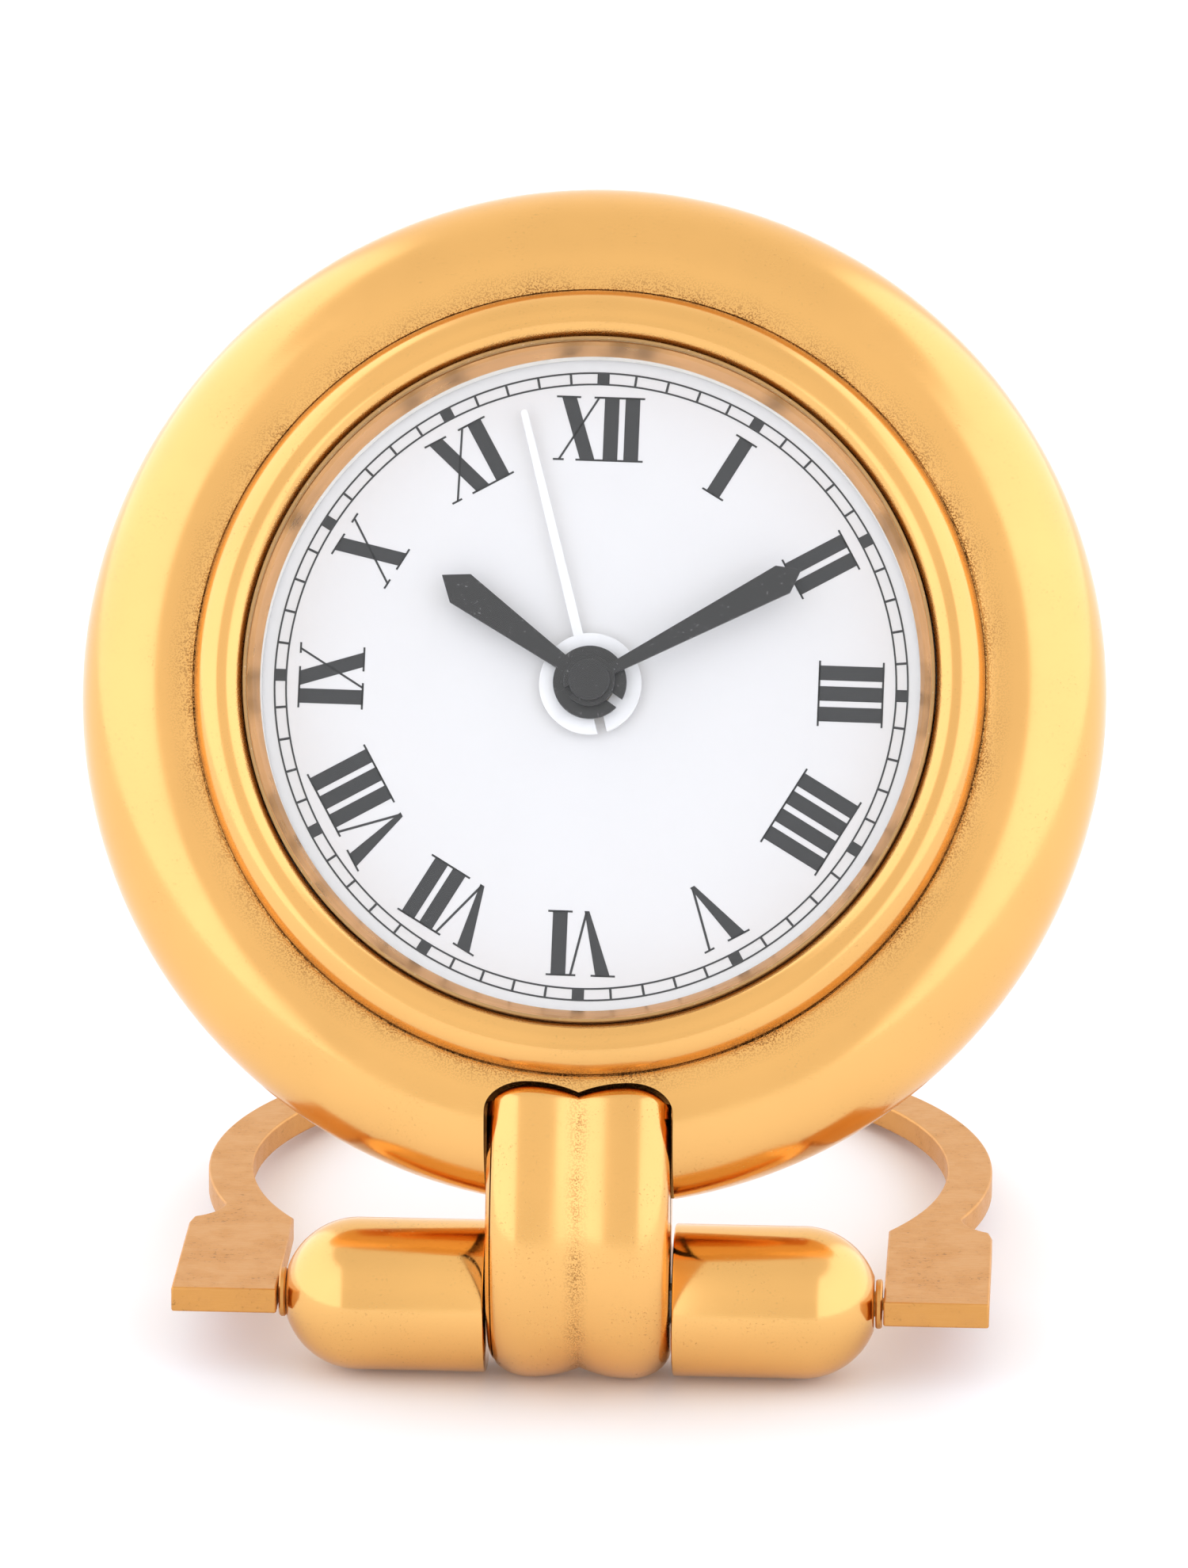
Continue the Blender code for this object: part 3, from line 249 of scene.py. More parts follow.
def close_up(smooth=30.0):
    """Merges what meets, points the faces outwards, leaves edit mode and shades the piece."""
    bpy.ops.mesh.select_all(action="SELECT")
    bpy.ops.mesh.remove_doubles(threshold=0.001 * MM)
    bpy.ops.mesh.normals_make_consistent(inside=False)
    bpy.ops.object.mode_set(mode="OBJECT")
    bpy.ops.object.shade_smooth_by_angle(angle=math.radians(smooth))


def turned(name, profile, sides, closed=True):
    """Spins a profile of (radius, height) points round Z. An open one starts and ends on the axis."""
    points = [Vector((radius, 0, height)) for radius, height in profile]
    if closed:
        points.append(points[0])
    piece = start(name, points[0])
    draw(points)
    bpy.ops.mesh.select_all(action="SELECT")
    bpy.ops.mesh.spin(steps=sides, angle=2 * math.pi, center=(0, 0, 0), axis=(0, 0, 1))
    close_up()
    return piece


def plate(name, outlines, low, high, smooth=30.0):
    """Raises flat outlines of (x, y) points into a plate between two heights."""
    piece = None
    for outline in outlines:
        points = [Vector((x, y, low)) for x, y in outline]
        if piece is None:
            piece = start(name, points[0])
        else:
            bpy.ops.mesh.select_all(action="DESELECT")
            bpy.ops.mesh.primitive_plane_add(size=MM, location=(0, 0, 0))
            bpy.ops.mesh.merge(type="CENTER")
            bpy.ops.transform.translate(value=points[0])
        draw(points)
        bpy.ops.mesh.select_linked()
        bpy.ops.mesh.edge_face_add()
    bpy.ops.mesh.select_all(action="SELECT")
    bpy.ops.mesh.extrude_region_move(TRANSFORM_OT_translate={"value": (0, 0, high - low)})
    close_up(smooth)
    return piece


def arc(middle_x, middle_y, size_x, size_y, start_angle, end_angle, steps):
    """Points along part of an ellipse, with angles in degrees."""
    turn = (end_angle - start_angle) / steps
    angles = [math.radians(start_angle + turn * step) for step in range(steps + 1)]
    return [(middle_x + size_x * math.cos(angle), middle_y + size_y * math.sin(angle)) for angle in angles]


def rectangle(left, low, right, high):
    return [(left, low), (right, low), (right, high), (left, high)]


def apply_modifier(piece, kind, **settings):
    select(piece)
    change = piece.modifiers.new(kind.lower(), kind)
    for key, value in settings.items():
        setattr(change, key, value)
    bpy.ops.object.modifier_apply(modifier=change.name)


def soften(piece, width, segments=2, angle=40.0):
    """Rounds a piece's sharp edges."""
    apply_modifier(
        piece, "BEVEL", width=width, segments=segments, limit_method="ANGLE",
        angle_limit=math.radians(angle), harden_normals=False,
    )
    bpy.ops.object.shade_smooth_by_angle(angle=math.radians(30))


def cut(piece, tool):
    """Cuts a tool out of a piece, and removes the tool."""
    apply_modifier(piece, "BOOLEAN", operation="DIFFERENCE", object=tool, solver="MANIFOLD")
    bpy.data.objects.remove(tool)
    select(piece)
    bpy.ops.object.shade_smooth_by_angle(angle=math.radians(30))


def carve(piece, outline, low, high):
    """Cuts a flat outline out of a piece, between two heights."""
    cut(piece, plate("tool", [outline], low, high))


def drill(piece, radius, low, high, place, sides=32):
    """Cuts a round hole, whose axis is the Z of a place, between two heights on that axis."""
    hole = turned("hole", rectangle(0, low, radius, high), sides, closed=False)
    settle(hole, place)
    cut(piece, hole)


def drill_all(piece, radius, low, high, points, sides=32):
    for point in points:
        drill(piece, radius, low, high, Matrix.Translation((point.x, point.y, 0)), sides)


def settle(piece, place):
    """Puts a piece's place into its mesh, so that its object stays at the origin."""
    select(piece)
    piece.matrix_world = place
    bpy.ops.object.transform_apply(location=True, rotation=True, scale=True)


def on_head(centre):
    """Place over a point of the dial, at the height of the dial's face."""
    return HEAD @ Matrix.Translation((centre.x, centre.y, 0))


def copies(piece, places):
    """Puts a copy of a piece, with its own mesh, at each place after the first, which the piece takes."""
    pieces = [piece]
    for place in places[1:]:
        other = piece.copy()
        other.data = piece.data.copy()
        bpy.context.scene.collection.objects.link(other)
        pieces.append(other)
    for each, place in zip(pieces, places):
        settle(each, place)
    return pieces


def joined(name, pieces):
    select(pieces[0])
    for piece in pieces[1:]:
        piece.select_set(True)
    bpy.ops.object.join()
    pieces[0].name = name
    pieces[0].data.name = name
    return pieces[0]


def hand_over(piece, body, slot, material, *nodes):
    """Gives a finished piece its material and its body, and hides the nodes that it stands for. The slot is
    not used.
    """
    piece.data.materials.clear()
    piece.data.materials.append(material)
    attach(piece, body)
    if nodes:
        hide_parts(*nodes)


# Materials


def finish(name, base, metallic, roughness):
    """A new material, with its node tree and its shader."""
    material = bpy.data.materials.new(name)
    material.use_nodes = True
    shader = material.node_tree.nodes["Principled BSDF"]
    shader.inputs["Base Color"].default_value = (*base, 1)
    shader.inputs["Metallic"].default_value = metallic
    shader.inputs["Roughness"].default_value = roughness
    return material, material.node_tree, shader


def add(tree, kind, inputs=(), **settings):
    """Adds a node, sets it, and links or sets its inputs."""
    node = tree.nodes.new("ShaderNode" + kind)
    for key, value in settings.items():
        setattr(node, key, value)
    for key, value in dict(inputs).items():
        if isinstance(value, bpy.types.NodeSocket):
            tree.links.new(value, node.inputs[key])
        else:
            node.inputs[key].default_value = value
    return node


def object_place(tree, turn=(0, 0, 0), stretch=(1, 1, 1), place=(0, 0, 0)):
    """Coordinates on the piece, in a frame at a place, turned and stretched."""
    source = add(tree, "TexCoord")
    inputs = {"Vector": source.outputs["Object"], "Location": place, "Rotation": turn}
    local = add(tree, "Mapping", inputs, vector_type="TEXTURE")
    grown = add(tree, "Mapping", {"Vector": local.outputs["Vector"], "Scale": stretch})
    return grown.outputs["Vector"]


def head_coordinates(tree, stretch=(1, 1, 1)):
    return object_place(tree, HEAD.to_euler(), stretch, DIAL_CENTRE)


def noise(tree, place, size, detail=3.0, rough=0.5, distortion=0.0):
    """Noise whose blotches are about size across."""
    inputs = {"Vector": place, "Scale": 1 / size, "Detail": detail, "Roughness": rough}
    inputs["Distortion"] = distortion
    return add(tree, "TexNoise", inputs).outputs["Fac"]


def ramp(tree, value, low, high, to_low=0.0, to_high=1.0):
    inputs = {"Value": value, "From Min": low, "From Max": high, "To Min": to_low, "To Max": to_high}
    return add(tree, "MapRange", inputs, clamp=True).outputs["Result"]


def maths(tree, operation, first, second=0.0):
    return add(tree, "Math", {0: first, 1: second}, operation=operation).outputs[0]


def plus(tree, first, second):
    return maths(tree, "ADD", first, second)


def minus(tree, first, second):
    return maths(tree, "SUBTRACT", first, second)


def times(tree, first, second):
    return maths(tree, "MULTIPLY", first, second)


def mixed(tree, factor, first, second):
    """Mixes two colours."""
    node = add(tree, "Mix", data_type="RGBA")
    for index, value in ((0, factor), (6, first), (7, second)):
        if isinstance(value, bpy.types.NodeSocket):
            tree.links.new(value, node.inputs[index])
        else:
            node.inputs[index].default_value = value if index == 0 else (*value, 1)
    return node.outputs[2]


def darkened(tree, pattern, base, shade, high=0.65):
    """A colour that turns to a darker shade of itself where a pattern is strong."""
    return mixed(tree, ramp(tree, pattern, 0.35, high), base, [part * shade for part in base])


def feed(tree, shader, **sources):
    """Links sources to the shader's inputs, such as base_color or roughness."""
    for name, source in sources.items():
        tree.links.new(source, shader.inputs[name.replace("_", " ").title()])


def bump(tree, shader, height, depth, strength=1.0):
    node = add(tree, "Bump", {"Height": height, "Distance": depth, "Strength": strength})
    feed(tree, shader, normal=node.outputs["Normal"])


def distance_from(tree, centre):
    """Distance from an axis that stands on the dial at a point of the head's frame."""
    flat = object_place(tree, HEAD.to_euler(), (1, 1, 0), HEAD @ Vector(centre))
    return add(tree, "VectorMath", {0: flat}, operation="LENGTH").outputs["Value"]


def near(tree, value, target, reach):
    """1 at a target value, falling to 0 at a distance from it."""
    away = maths(tree, "ABSOLUTE", minus(tree, value, target))
    return ramp(tree, away, 0, reach, 1, 0)


def gold_finish(name, rough, seams=(), groove=0.0, dirt=0.5):
    """Polished gold plate with handling marks, and brown specks that gather along its seams."""
    material, tree, shader = finish(name, colours().gold, 1.0, rough)
    place = head_coordinates(tree)
    tint = darkened(tree, noise(tree, place, 14 * MM, 4), colours().gold, 0.93)
    specks = ramp(tree, noise(tree, place, 0.16 * MM, 2), 0.63, 0.70)
    gathered = ramp(tree, noise(tree, place, 3.5 * MM, 3), 0.40, 0.75)
    mask = times(tree, specks, times(tree, gathered, dirt * 0.55))
    fine = ramp(tree, noise(tree, place, 0.11 * MM, 1), 0.47, 0.58)
    bands = [near(tree, distance_from(tree, (0, 0, 0)), seam, reach) for seam, reach in seams]
    if groove:
        bands.append(near(tree, add(tree, "SeparateXYZ", {0: place}).outputs["X"], 0, groove))
    for band in bands:
        ragged = times(tree, band, plus(tree, gathered, 0.35))
        mask = maths(tree, "MAXIMUM", mask, times(tree, times(tree, ragged, fine), 0.75))
    smudges = noise(tree, place, 5 * MM, 5, 0.6)
    hairs = noise(tree, head_coordinates(tree, (1, 14, 3)), 1.2 * MM, 3)
    worn = ramp(tree, smudges, 0.3, 0.75, rough * 0.75, rough * 1.5)
    worn = plus(tree, worn, times(tree, mask, 0.5))
    worn = plus(tree, worn, ramp(tree, hairs, 0.55, 0.8, 0, 0.06))
    feed(tree, shader, base_color=mixed(tree, mask, tint, colours().tarnish), roughness=worn)
    pits = minus(tree, times(tree, hairs, 0.125), mask)
    bump(tree, shader, plus(tree, noise(tree, place, 7 * MM, 1), pits), 0.012 * MM)
    return material


def brushed_gold(name, base, rough, stretch):
    """Matt, tarnished gold with fine scratches."""
    material, tree, shader = finish(name, base, 1.0, rough)
    place = head_coordinates(tree)
    hairs = noise(tree, object_place(tree, stretch=stretch), 1.1 * MM, 4, 0.6)
    stains = noise(tree, place, 2.6 * MM, 6, 0.65)
    specks = ramp(tree, noise(tree, place, 0.25 * MM, 2), 0.6, 0.7)
    tint = mixed(tree, ramp(tree, stains, 0.45, 0.75, 0, 0.35), base, (0.50, 0.25, 0.09))
    tint = mixed(tree, ramp(tree, hairs, 0.35, 0.7, 0, 0.25), tint, (0.72, 0.39, 0.135))
    mask = times(tree, specks, ramp(tree, stains, 0.45, 0.7, 0, 0.7))
    dull = ramp(tree, hairs, 0.3, 0.7, rough * 0.8, rough * 1.3)
    dull = plus(tree, dull, ramp(tree, stains, 0.4, 0.7, 0, 0.15))
    feed(tree, shader, base_color=mixed(tree, mask, tint, colours().tarnish), roughness=dull)
    bump(tree, shader, minus(tree, hairs, mask), 0.02 * MM, 0.6)
    return material


def satin(name, base, rough, dust=0.4):
    """Painted or moulded surface with slight mottling and dust."""
    material, tree, shader = finish(name, base, 0.0, rough)
    place = head_coordinates(tree)
    tint = darkened(tree, noise(tree, place, 2.5 * MM, 4), base, 0.9)
    specks = ramp(tree, noise(tree, place, 0.16 * MM, 1), 0.70, 0.74, 0, dust)
    pale = [min(1.0, part + 0.35) for part in base]
    fine = noise(tree, place, 0.25 * MM, 3)
    dull = ramp(tree, fine, 0.3, 0.7, rough * 0.85, rough * 1.2)
    feed(tree, shader, base_color=mixed(tree, specks, tint, pale), roughness=dull)
    bump(tree, shader, fine, 0.003 * MM, 0.5)
    return material


def lacquer_finish():
    """White dial: an even lacquer with a trace of mottling and a few hairline scratches."""
    material, tree, shader = finish("dial_lacquer", colours().lacquer, 0.0, 0.4)
    cloud = noise(tree, head_coordinates(tree), 9 * MM, 3)
    tint = darkened(tree, cloud, colours().lacquer, 0.985)
    hairs = noise(tree, head_coordinates(tree, (1, 9, 1)), 1.6 * MM, 2, 0.5, 1.5)
    marks = ramp(tree, hairs, 0.74, 0.78, 0, 0.25)
    feed(tree, shader, base_color=mixed(tree, marks, tint, (0.70, 0.71, 0.73)))
    feed(tree, shader, roughness=ramp(tree, cloud, 0.3, 0.7, 0.36, 0.44))
    return material


def glass_finish():
    """Clear crystal: what it doesn't mirror passes straight through."""
    material, tree, shader = finish("clear_glass", (0.96, 0.98, 1.0), 1.0, 0.03)
    smears = noise(tree, head_coordinates(tree), 6 * MM, 4)
    scratches = noise(tree, head_coordinates(tree, (1, 11, 1)), 1.3 * MM, 2, 0.5, 2.0)
    inside = add(tree, "NewGeometry").outputs["Backfacing"]
    mirror = add(tree, "Fresnel", {"IOR": 1.5}).outputs["Fac"]
    mirror = times(tree, mirror, minus(tree, 1.0, inside))
    alpha = plus(tree, mirror, ramp(tree, scratches, 0.76, 0.80, 0, 0.05))
    feed(tree, shader, alpha=alpha, roughness=ramp(tree, smears, 0.3, 0.7, 0.02, 0.06))
    return material


def turned_metal(name, base, rough, centre=(0, 0, 0)):
    """Metal with fine rings of turning marks round a point of the head."""
    material, tree, shader = finish(name, base, 1.0, rough)
    rings = {"W": distance_from(tree, centre), "Scale": 9.0 / MM, "Detail": 2}
    marks = add(tree, "TexNoise", rings, noise_dimensions="1D").outputs["Fac"]
    stains = noise(tree, head_coordinates(tree), 4 * MM, 5, 0.6)
    dull = ramp(tree, marks, 0.3, 0.7, rough * 0.75, rough * 1.3)
    dull = plus(tree, dull, ramp(tree, stains, 0.4, 0.8, 0, 0.1))
    feed(tree, shader, base_color=darkened(tree, stains, base, 0.82, 0.7), roughness=dull)
    bump(tree, shader, marks, 0.004 * MM, 0.5)
    return material


# Head


class ClockCaseRing(bpy.types.Operator):
    """Builds the thick domed ring with the slot that takes the strap"""

    bl_idname = "clock.case_ring"
    bl_label = "Case ring"

    def execute(self, context):
        section = sizes().ring_section
        depth = section - RING_TOP
        centre = RING_RADIUS - section
        seat = BEAD_RADIUS + GAP
        chamfer = 0.15 * MM
        bore = COVER_RADIUS + GAP
        bead_seat = span("inner_bezel")[0].z + 1.1 * MM
        inner = DIAL_RADIUS + MM
        first = math.degrees(math.acos((seat - centre) / section))
        last = -math.degrees(math.asin((-BACK - depth) / section))
        profile = arc(centre, -depth, section, section, first, last, 64)
        profile += [(bore + chamfer, BACK), (bore, BACK + chamfer), (bore, COVER_FACE + chamfer)]
        profile += [(inner, COVER_FACE + chamfer), (inner, bead_seat), (seat, bead_seat)]
        profile += [(seat, math.sqrt(section**2 - (seat - centre) ** 2) - depth - 0.12 * MM)]
        ring = turned("case_ring_fine", profile, sizes().sides)
        cut(ring, self.slot(0.17 * MM))
        screws = [middle("strap_screw_" + side) for side in ("left", "right")]
        drill_all(ring, SINK_RADIUS, BACK - MM, BACK + SINK_DEPTH, screws)
        settle(ring, HEAD)
        material = gold_finish("ring_gold", 0.16, ((BEAD_RADIUS, 1.8 * MM), (seat, 0.35 * MM)))
        hand_over(ring, "head", "gold", material, "case_ring")
        return {"FINISHED"}

    def slot(self, room):
        """Tool for an open slot, whose top end follows the strap's two lobes."""
        half = STRAP_HALF + room
        below = -RING_RADIUS - 2 * MM
        across = [half * math.sin(math.pi / 2 * step / 24) for step in range(-24, 25)]
        top = [(x, STRAP_TOP + room - lobe_drop(abs(x) * STRAP_HALF / half)) for x in across]
        outline = [(-half, below)] + top + [(half, below)]
        return plate("tool", [outline], -sizes().strap_depth - 0.15 * MM, 5 * MM)


class ClockBead(bpy.types.Operator):
    """Builds the rounded bead inside the case ring"""

    bl_idname = "clock.bead"
    bl_label = "Bead"

    def execute(self, context):
        crest = BEAD_RADIUS - sizes().bead_crest
        low = span("inner_bezel")[0].z
        foot = DIAL_RADIUS + 0.9 * MM
        flange = low + 1.25 * MM
        edge = flange + 0.35 * MM
        roll = 1.0 * MM
        profile = [(foot, low), (foot, flange), (BEAD_RADIUS, flange)]
        profile += arc(crest, edge, sizes().bead_crest, BEAD_TOP - edge, 0, 90, 24)
        profile += arc(crest, BEAD_TOP - roll, crest - BEAD_BORE, roll, 90, 180, 20)[1:]
        profile += [(BEAD_BORE, low)]
        bead = turned("bead_fine", profile, sizes().sides)
        settle(bead, HEAD)
        material = gold_finish("bead_gold", 0.15, ((BEAD_RADIUS, 0.4 * MM), (BEAD_BORE, 0.4 * MM)))
        hand_over(bead, "head", "gold", material, "inner_bezel")
        return {"FINISHED"}


class ClockFlange(bpy.types.Operator):
    """Builds the coppery sloping rim between the dial and the crystal"""

    bl_idname = "clock.flange"
    bl_label = "Dial flange"

    def execute(self, context):
        low = span("dial_flange")[0].z
        foot = 1.4 * MM
        lip = FLANGE_RADIUS - 0.25 * MM
        step = (FLANGE_BORE + lip) / 2
        ledge = (foot + FLANGE_TOP) / 2
        profile = [(FLANGE_BORE, low), (FLANGE_RADIUS, low), (FLANGE_RADIUS, FLANGE_TOP), (lip, FLANGE_TOP)]
        profile += [(lip - 0.05 * MM, FLANGE_TOP - 0.12 * MM)]
        profile += [(step + 0.06 * MM, ledge + 0.05 * MM), (step, ledge - 0.1 * MM)]
        profile += [(FLANGE_BORE + 0.03 * MM, foot), (FLANGE_BORE, foot - 0.1 * MM)]
        flange = turned("flange_fine", profile, sizes().sides)
        settle(flange, HEAD)
        hand_over(flange, "head", "copper", self.copper(foot), "dial_flange")
        return {"FINISHED"}

    def copper(self, foot):
        """Coppery gold on the slope, and the dial's white on the short wall under it."""
        base = colours().copper
        material, tree, shader = finish("flange_copper", base, 1.0, 0.3)
        height = add(tree, "SeparateXYZ", {0: head_coordinates(tree)}).outputs["Z"]
        slope = ramp(tree, height, foot - 0.12 * MM, foot - 0.02 * MM)
        streaks = noise(tree, head_coordinates(tree, (1, 1, 6)), 3 * MM, 4)
        tint = darkened(tree, streaks, base, 0.9, 0.7)
        feed(tree, shader, base_color=mixed(tree, slope, (0.90, 0.87, 0.80), tint), metallic=slope)
        feed(tree, shader, roughness=ramp(tree, streaks, 0.3, 0.7, 0.26, 0.36))
        bump(tree, shader, streaks, 0.01 * MM)
        return material


class ClockCrystal(bpy.types.Operator):
    """Builds the crystal with its bevelled edge, and its seal"""

    bl_idname = "clock.crystal"
    bl_label = "Crystal"

    def execute(self, context):
        bevel = 0.3 * MM
        soft = 0.05 * MM
        profile = [(0, GLASS_LOW), (GLASS_RADIUS, GLASS_LOW), (GLASS_RADIUS, GLASS_TOP - bevel)]
        profile += [(GLASS_RADIUS - bevel, GLASS_TOP - soft), (GLASS_RADIUS - bevel - soft, GLASS_TOP)]
        profile += [(0, GLASS_TOP)]
        crystal = turned("crystal_fine", profile, sizes().sides, closed=False)
        settle(crystal, HEAD)
        hand_over(crystal, "head", "glass", glass_finish(), "crystal")
        low, high = span("crystal_gasket")
        inner = GLASS_RADIUS + GAP
        crown = GLASS_TOP - 0.3 * MM
        profile = [(inner, low.z), (high.x, low.z), (high.x, crown)]
        profile += arc((inner + high.x) / 2, crown, (high.x - inner) / 2, 0.08 * MM, 0, 180, 6)[1:]
        seal = turned("crystal_seal", profile, sizes().sides)
        settle(seal, HEAD)
        hand_over(seal, "head", "gasket", satin("seal_brown", colours().gasket, 0.5), "crystal_gasket")
        return {"FINISHED"}


# Dial


def stroke(x_foot, x_top, width, height):
    """A straight stroke of a numeral, from its foot to its top."""
    half = width / 2
    return [(x_foot - half, 0), (x_foot + half, 0), (x_top + half, height), (x_top - half, height)]


def serif(x, half, level, thin):
    """A thin line across the end of a stroke."""
    return rectangle(x - half, level, x + half, level + thin)


def glyph_outlines(letter):
    """Strokes and serifs of I, V or X, with its foot at y = 0 and its middle at x = 0."""
    height = sizes().numeral_height
    thick = sizes().thick_stroke
    thin = sizes().thin_stroke
    hair = thin * 0.8
    wide = thick / 2 + 0.3 * MM
    slim = 0.34 * MM
    top = height - hair
    if letter == "I":
        return [stroke(0, 0, thick, height), serif(0, wide, 0, hair), serif(0, wide, top, hair)]
    if letter == "V":
        tip = 0.3 * MM
        left = -0.85 * MM
        right = 1.2 * MM
        blade = [(tip - thin, 0), (tip + thin, 0), (left + thick / 2, height), (left - thick / 2, height)]
        outlines = [blade, stroke(tip, right, thin, height)]
        return outlines + [serif(left, wide, top, hair), serif(right, slim, top, hair)]
    lean = 0.66 * MM
    foot = -1.18 * MM
    head = 1.28 * MM
    outlines = [stroke(lean, -lean, thick, height), stroke(foot, head, thin, height)]
    outlines += [serif(-lean, wide, top, hair), serif(lean, wide, 0, hair)]
    return outlines + [serif(head, slim, top, hair), serif(foot, slim, 0, hair)]


# Space that a letter takes to the left and to the right of its middle
SPACE = {"I": (0.65 * MM, 0.65 * MM), "V": (1.3 * MM, 1.3 * MM), "X": (1.1 * MM, 1.41 * MM)}
HOURS = ("XII", "I", "II", "III", "IIII", "V", "VI", "VII", "VIII", "IX", "X", "XI")


DIAL_TILT = math.radians(0.9)  # the dial sits a little clockwise in its case


def dial_turn(degrees):
    """Turns clockwise round the middle of the dial, from its twelve."""
    return Matrix.Rotation(-math.radians(degrees) - DIAL_TILT, 4, "Z")


class ClockDial(bpy.types.Operator):
    """Builds the dial, its hour numerals and its minute track"""

    bl_idname = "clock.dial"
    bl_label = "Dial"

    def execute(self, context):
        low = span("dial")[0].z
        hole = smallest_radius("dial")
        edge = 0.05 * MM
        profile = [(hole, low), (DIAL_RADIUS, low), (DIAL_RADIUS, -edge), (DIAL_RADIUS - edge, 0), (hole, 0)]
        dial = turned("dial_fine", profile, sizes().sides)
        settle(dial, HEAD)
        hand_over(dial, "head", "dial_white", lacquer_finish(), "dial")
        printing = satin("dial_ink", colours().ink, 0.45, dust=0.12)
        for print_piece in (self.numerals(), self.track()):
            settle(print_piece, HEAD)
            hand_over(print_piece, "head", "hand_black", printing)
        return {"FINISHED"}

    def numerals(self):
        places = {"I": [], "V": [], "X": []}
        for hour, word in enumerate(HOURS):
            x = -sum(sum(SPACE[letter]) for letter in word) / 2
            for letter in word:
                before, after = SPACE[letter]
                place = Matrix.Translation((x + before, sizes().numeral_foot, 0))
                places[letter].append(dial_turn(30 * hour) @ place)
                x += before + after
        pieces = []
        for letter, spots in places.items():
            glyph = plate("glyph_" + letter, glyph_outlines(letter), 0, sizes().ink)
            pieces += copies(glyph, spots)
        return joined("numerals", pieces)

    def track(self):
        ink = sizes().ink
        inner = sizes().track_inner
        outer = sizes().track_outer
        half_line = 0.055 * MM
        pieces = []
        for number, radius in enumerate((inner, outer)):
            profile = rectangle(radius - half_line, 0, radius + half_line, ink)
            pieces.append(turned(f"track_line_{number}", profile, sizes().sides * 2))
        ticks = [minute for minute in range(60) if minute % 5]
        for name, half, minutes in (("tick", 0.075 * MM, ticks), ("block", 0.38 * MM, range(0, 60, 5))):
            mark = plate(name, [rectangle(-half, inner, half, outer)], 0, ink * 1.02)
            pieces += copies(mark, [dial_turn(6 * minute) for minute in minutes])
        return joined("minute_track", pieces)


# Hands


def hub_outline(radius, bore, neck, slot):
    """A slotted hub: its slot points down, and its top is left open for the blade's neck."""
    half_slot = slot / 2
    slot_outer = math.degrees(math.asin(half_slot / radius))
    slot_inner = math.degrees(math.asin(half_slot / bore))
    neck_angle = math.degrees(math.asin(neck / 2 / radius))
    right = arc(0, 0, radius, radius, -90 + slot_outer, 90 - neck_angle, 32)
    left = arc(0, 0, radius, radius, 90 + neck_angle, 270 - slot_outer, 32)
    eye = arc(0, 0, bore, bore, 270 - slot_inner, -90 + slot_inner, 32)
    return right, left, eye


def lance(reach, width, shoulder):
    """A pointed blade's end, in millimetres."""
    half = width / 2 * MM
    return [(half, (reach - shoulder) * MM), (0, reach * MM), (-half, (reach - shoulder) * MM)]


def baton(reach, width):
    """A thin blade's round end, in millimetres."""
    half = width / 2 * MM
    return arc(0, reach * MM - half, half, half, 0, 180, 12)


class ClockHands(bpy.types.Operator):
    """Builds the three hands with their slotted hubs, and the cap over them"""

    bl_idname = "clock.hands"
    bl_label = "Hands"

    def execute(self, context):
        black = satin("hand_black", colours().hand, 0.34, dust=0.35)
        white = satin("hand_white", (0.90, 0.90, 0.90), 0.38, dust=0.0)
        slot_width = 0.6 * MM
        # name, clockwise turn, radius of hub and bore and width of neck in millimetres, blade, slot, material
        hands = (
            ("alarm_hand", 345, 3.2, 1.5, 0.62, baton(17.9, 0.45), "hand_white", white),
            ("hour_hand", 305, 2.3, 1.05, 1.0, lance(11.5, 2.2, 1.43), "hand_black", black),
            ("minute_hand", 61, 1.6, 0.6, 0.7, lance(14.9, 1.93, 1.28), "hand_black", black),
        )
        for name, turn, hub, bore, neck, blade, slot, material in hands:
            low = span(name)[0].z
            right, left, eye = hub_outline(hub * MM, bore * MM, neck * MM, slot_width)
            hand = plate(name + "_fine", [right + blade + left + eye], low, low + sizes().hand_thickness)
            soften(hand, 0.035 * MM)
            settle(hand, HEAD @ Matrix.Rotation(-math.radians(turn), 4, "Z"))
            hand_over(hand, name, slot, material, name)
        low, high = span("hand_cap")
        radius = (high.x - low.x) / 2
        edge = 0.08 * MM
        profile = [(0, low.z), (radius, low.z), (radius, high.z - edge)]
        profile += arc(radius - edge, high.z - edge, edge, edge, 0, 90, 5)[1:]
        profile += [(0, high.z)]
        cap = turned("hand_cap_fine", profile, sizes().small_sides, closed=False)
        settle(cap, HEAD)
        hand_over(cap, "minute_hand", "hand_black", black, "hand_cap")
        return {"FINISHED"}


# Strap and barrel


def lobe_drop(across):
    """How far the strap's surface lies under the lobes' tops, at a distance from its middle."""
    crest = sizes().lobe_crest
    inward = crest - across
    if inward >= 0:
        groove = sizes().lobe_groove
        radius = (crest**2 + groove**2) / (2 * groove)
        return radius - math.sqrt(radius**2 - inward**2)
    share = min(1.0, -inward / (STRAP_HALF - crest))
    return sizes().lobe_shoulder * (1 - math.sqrt(1 - share**2))


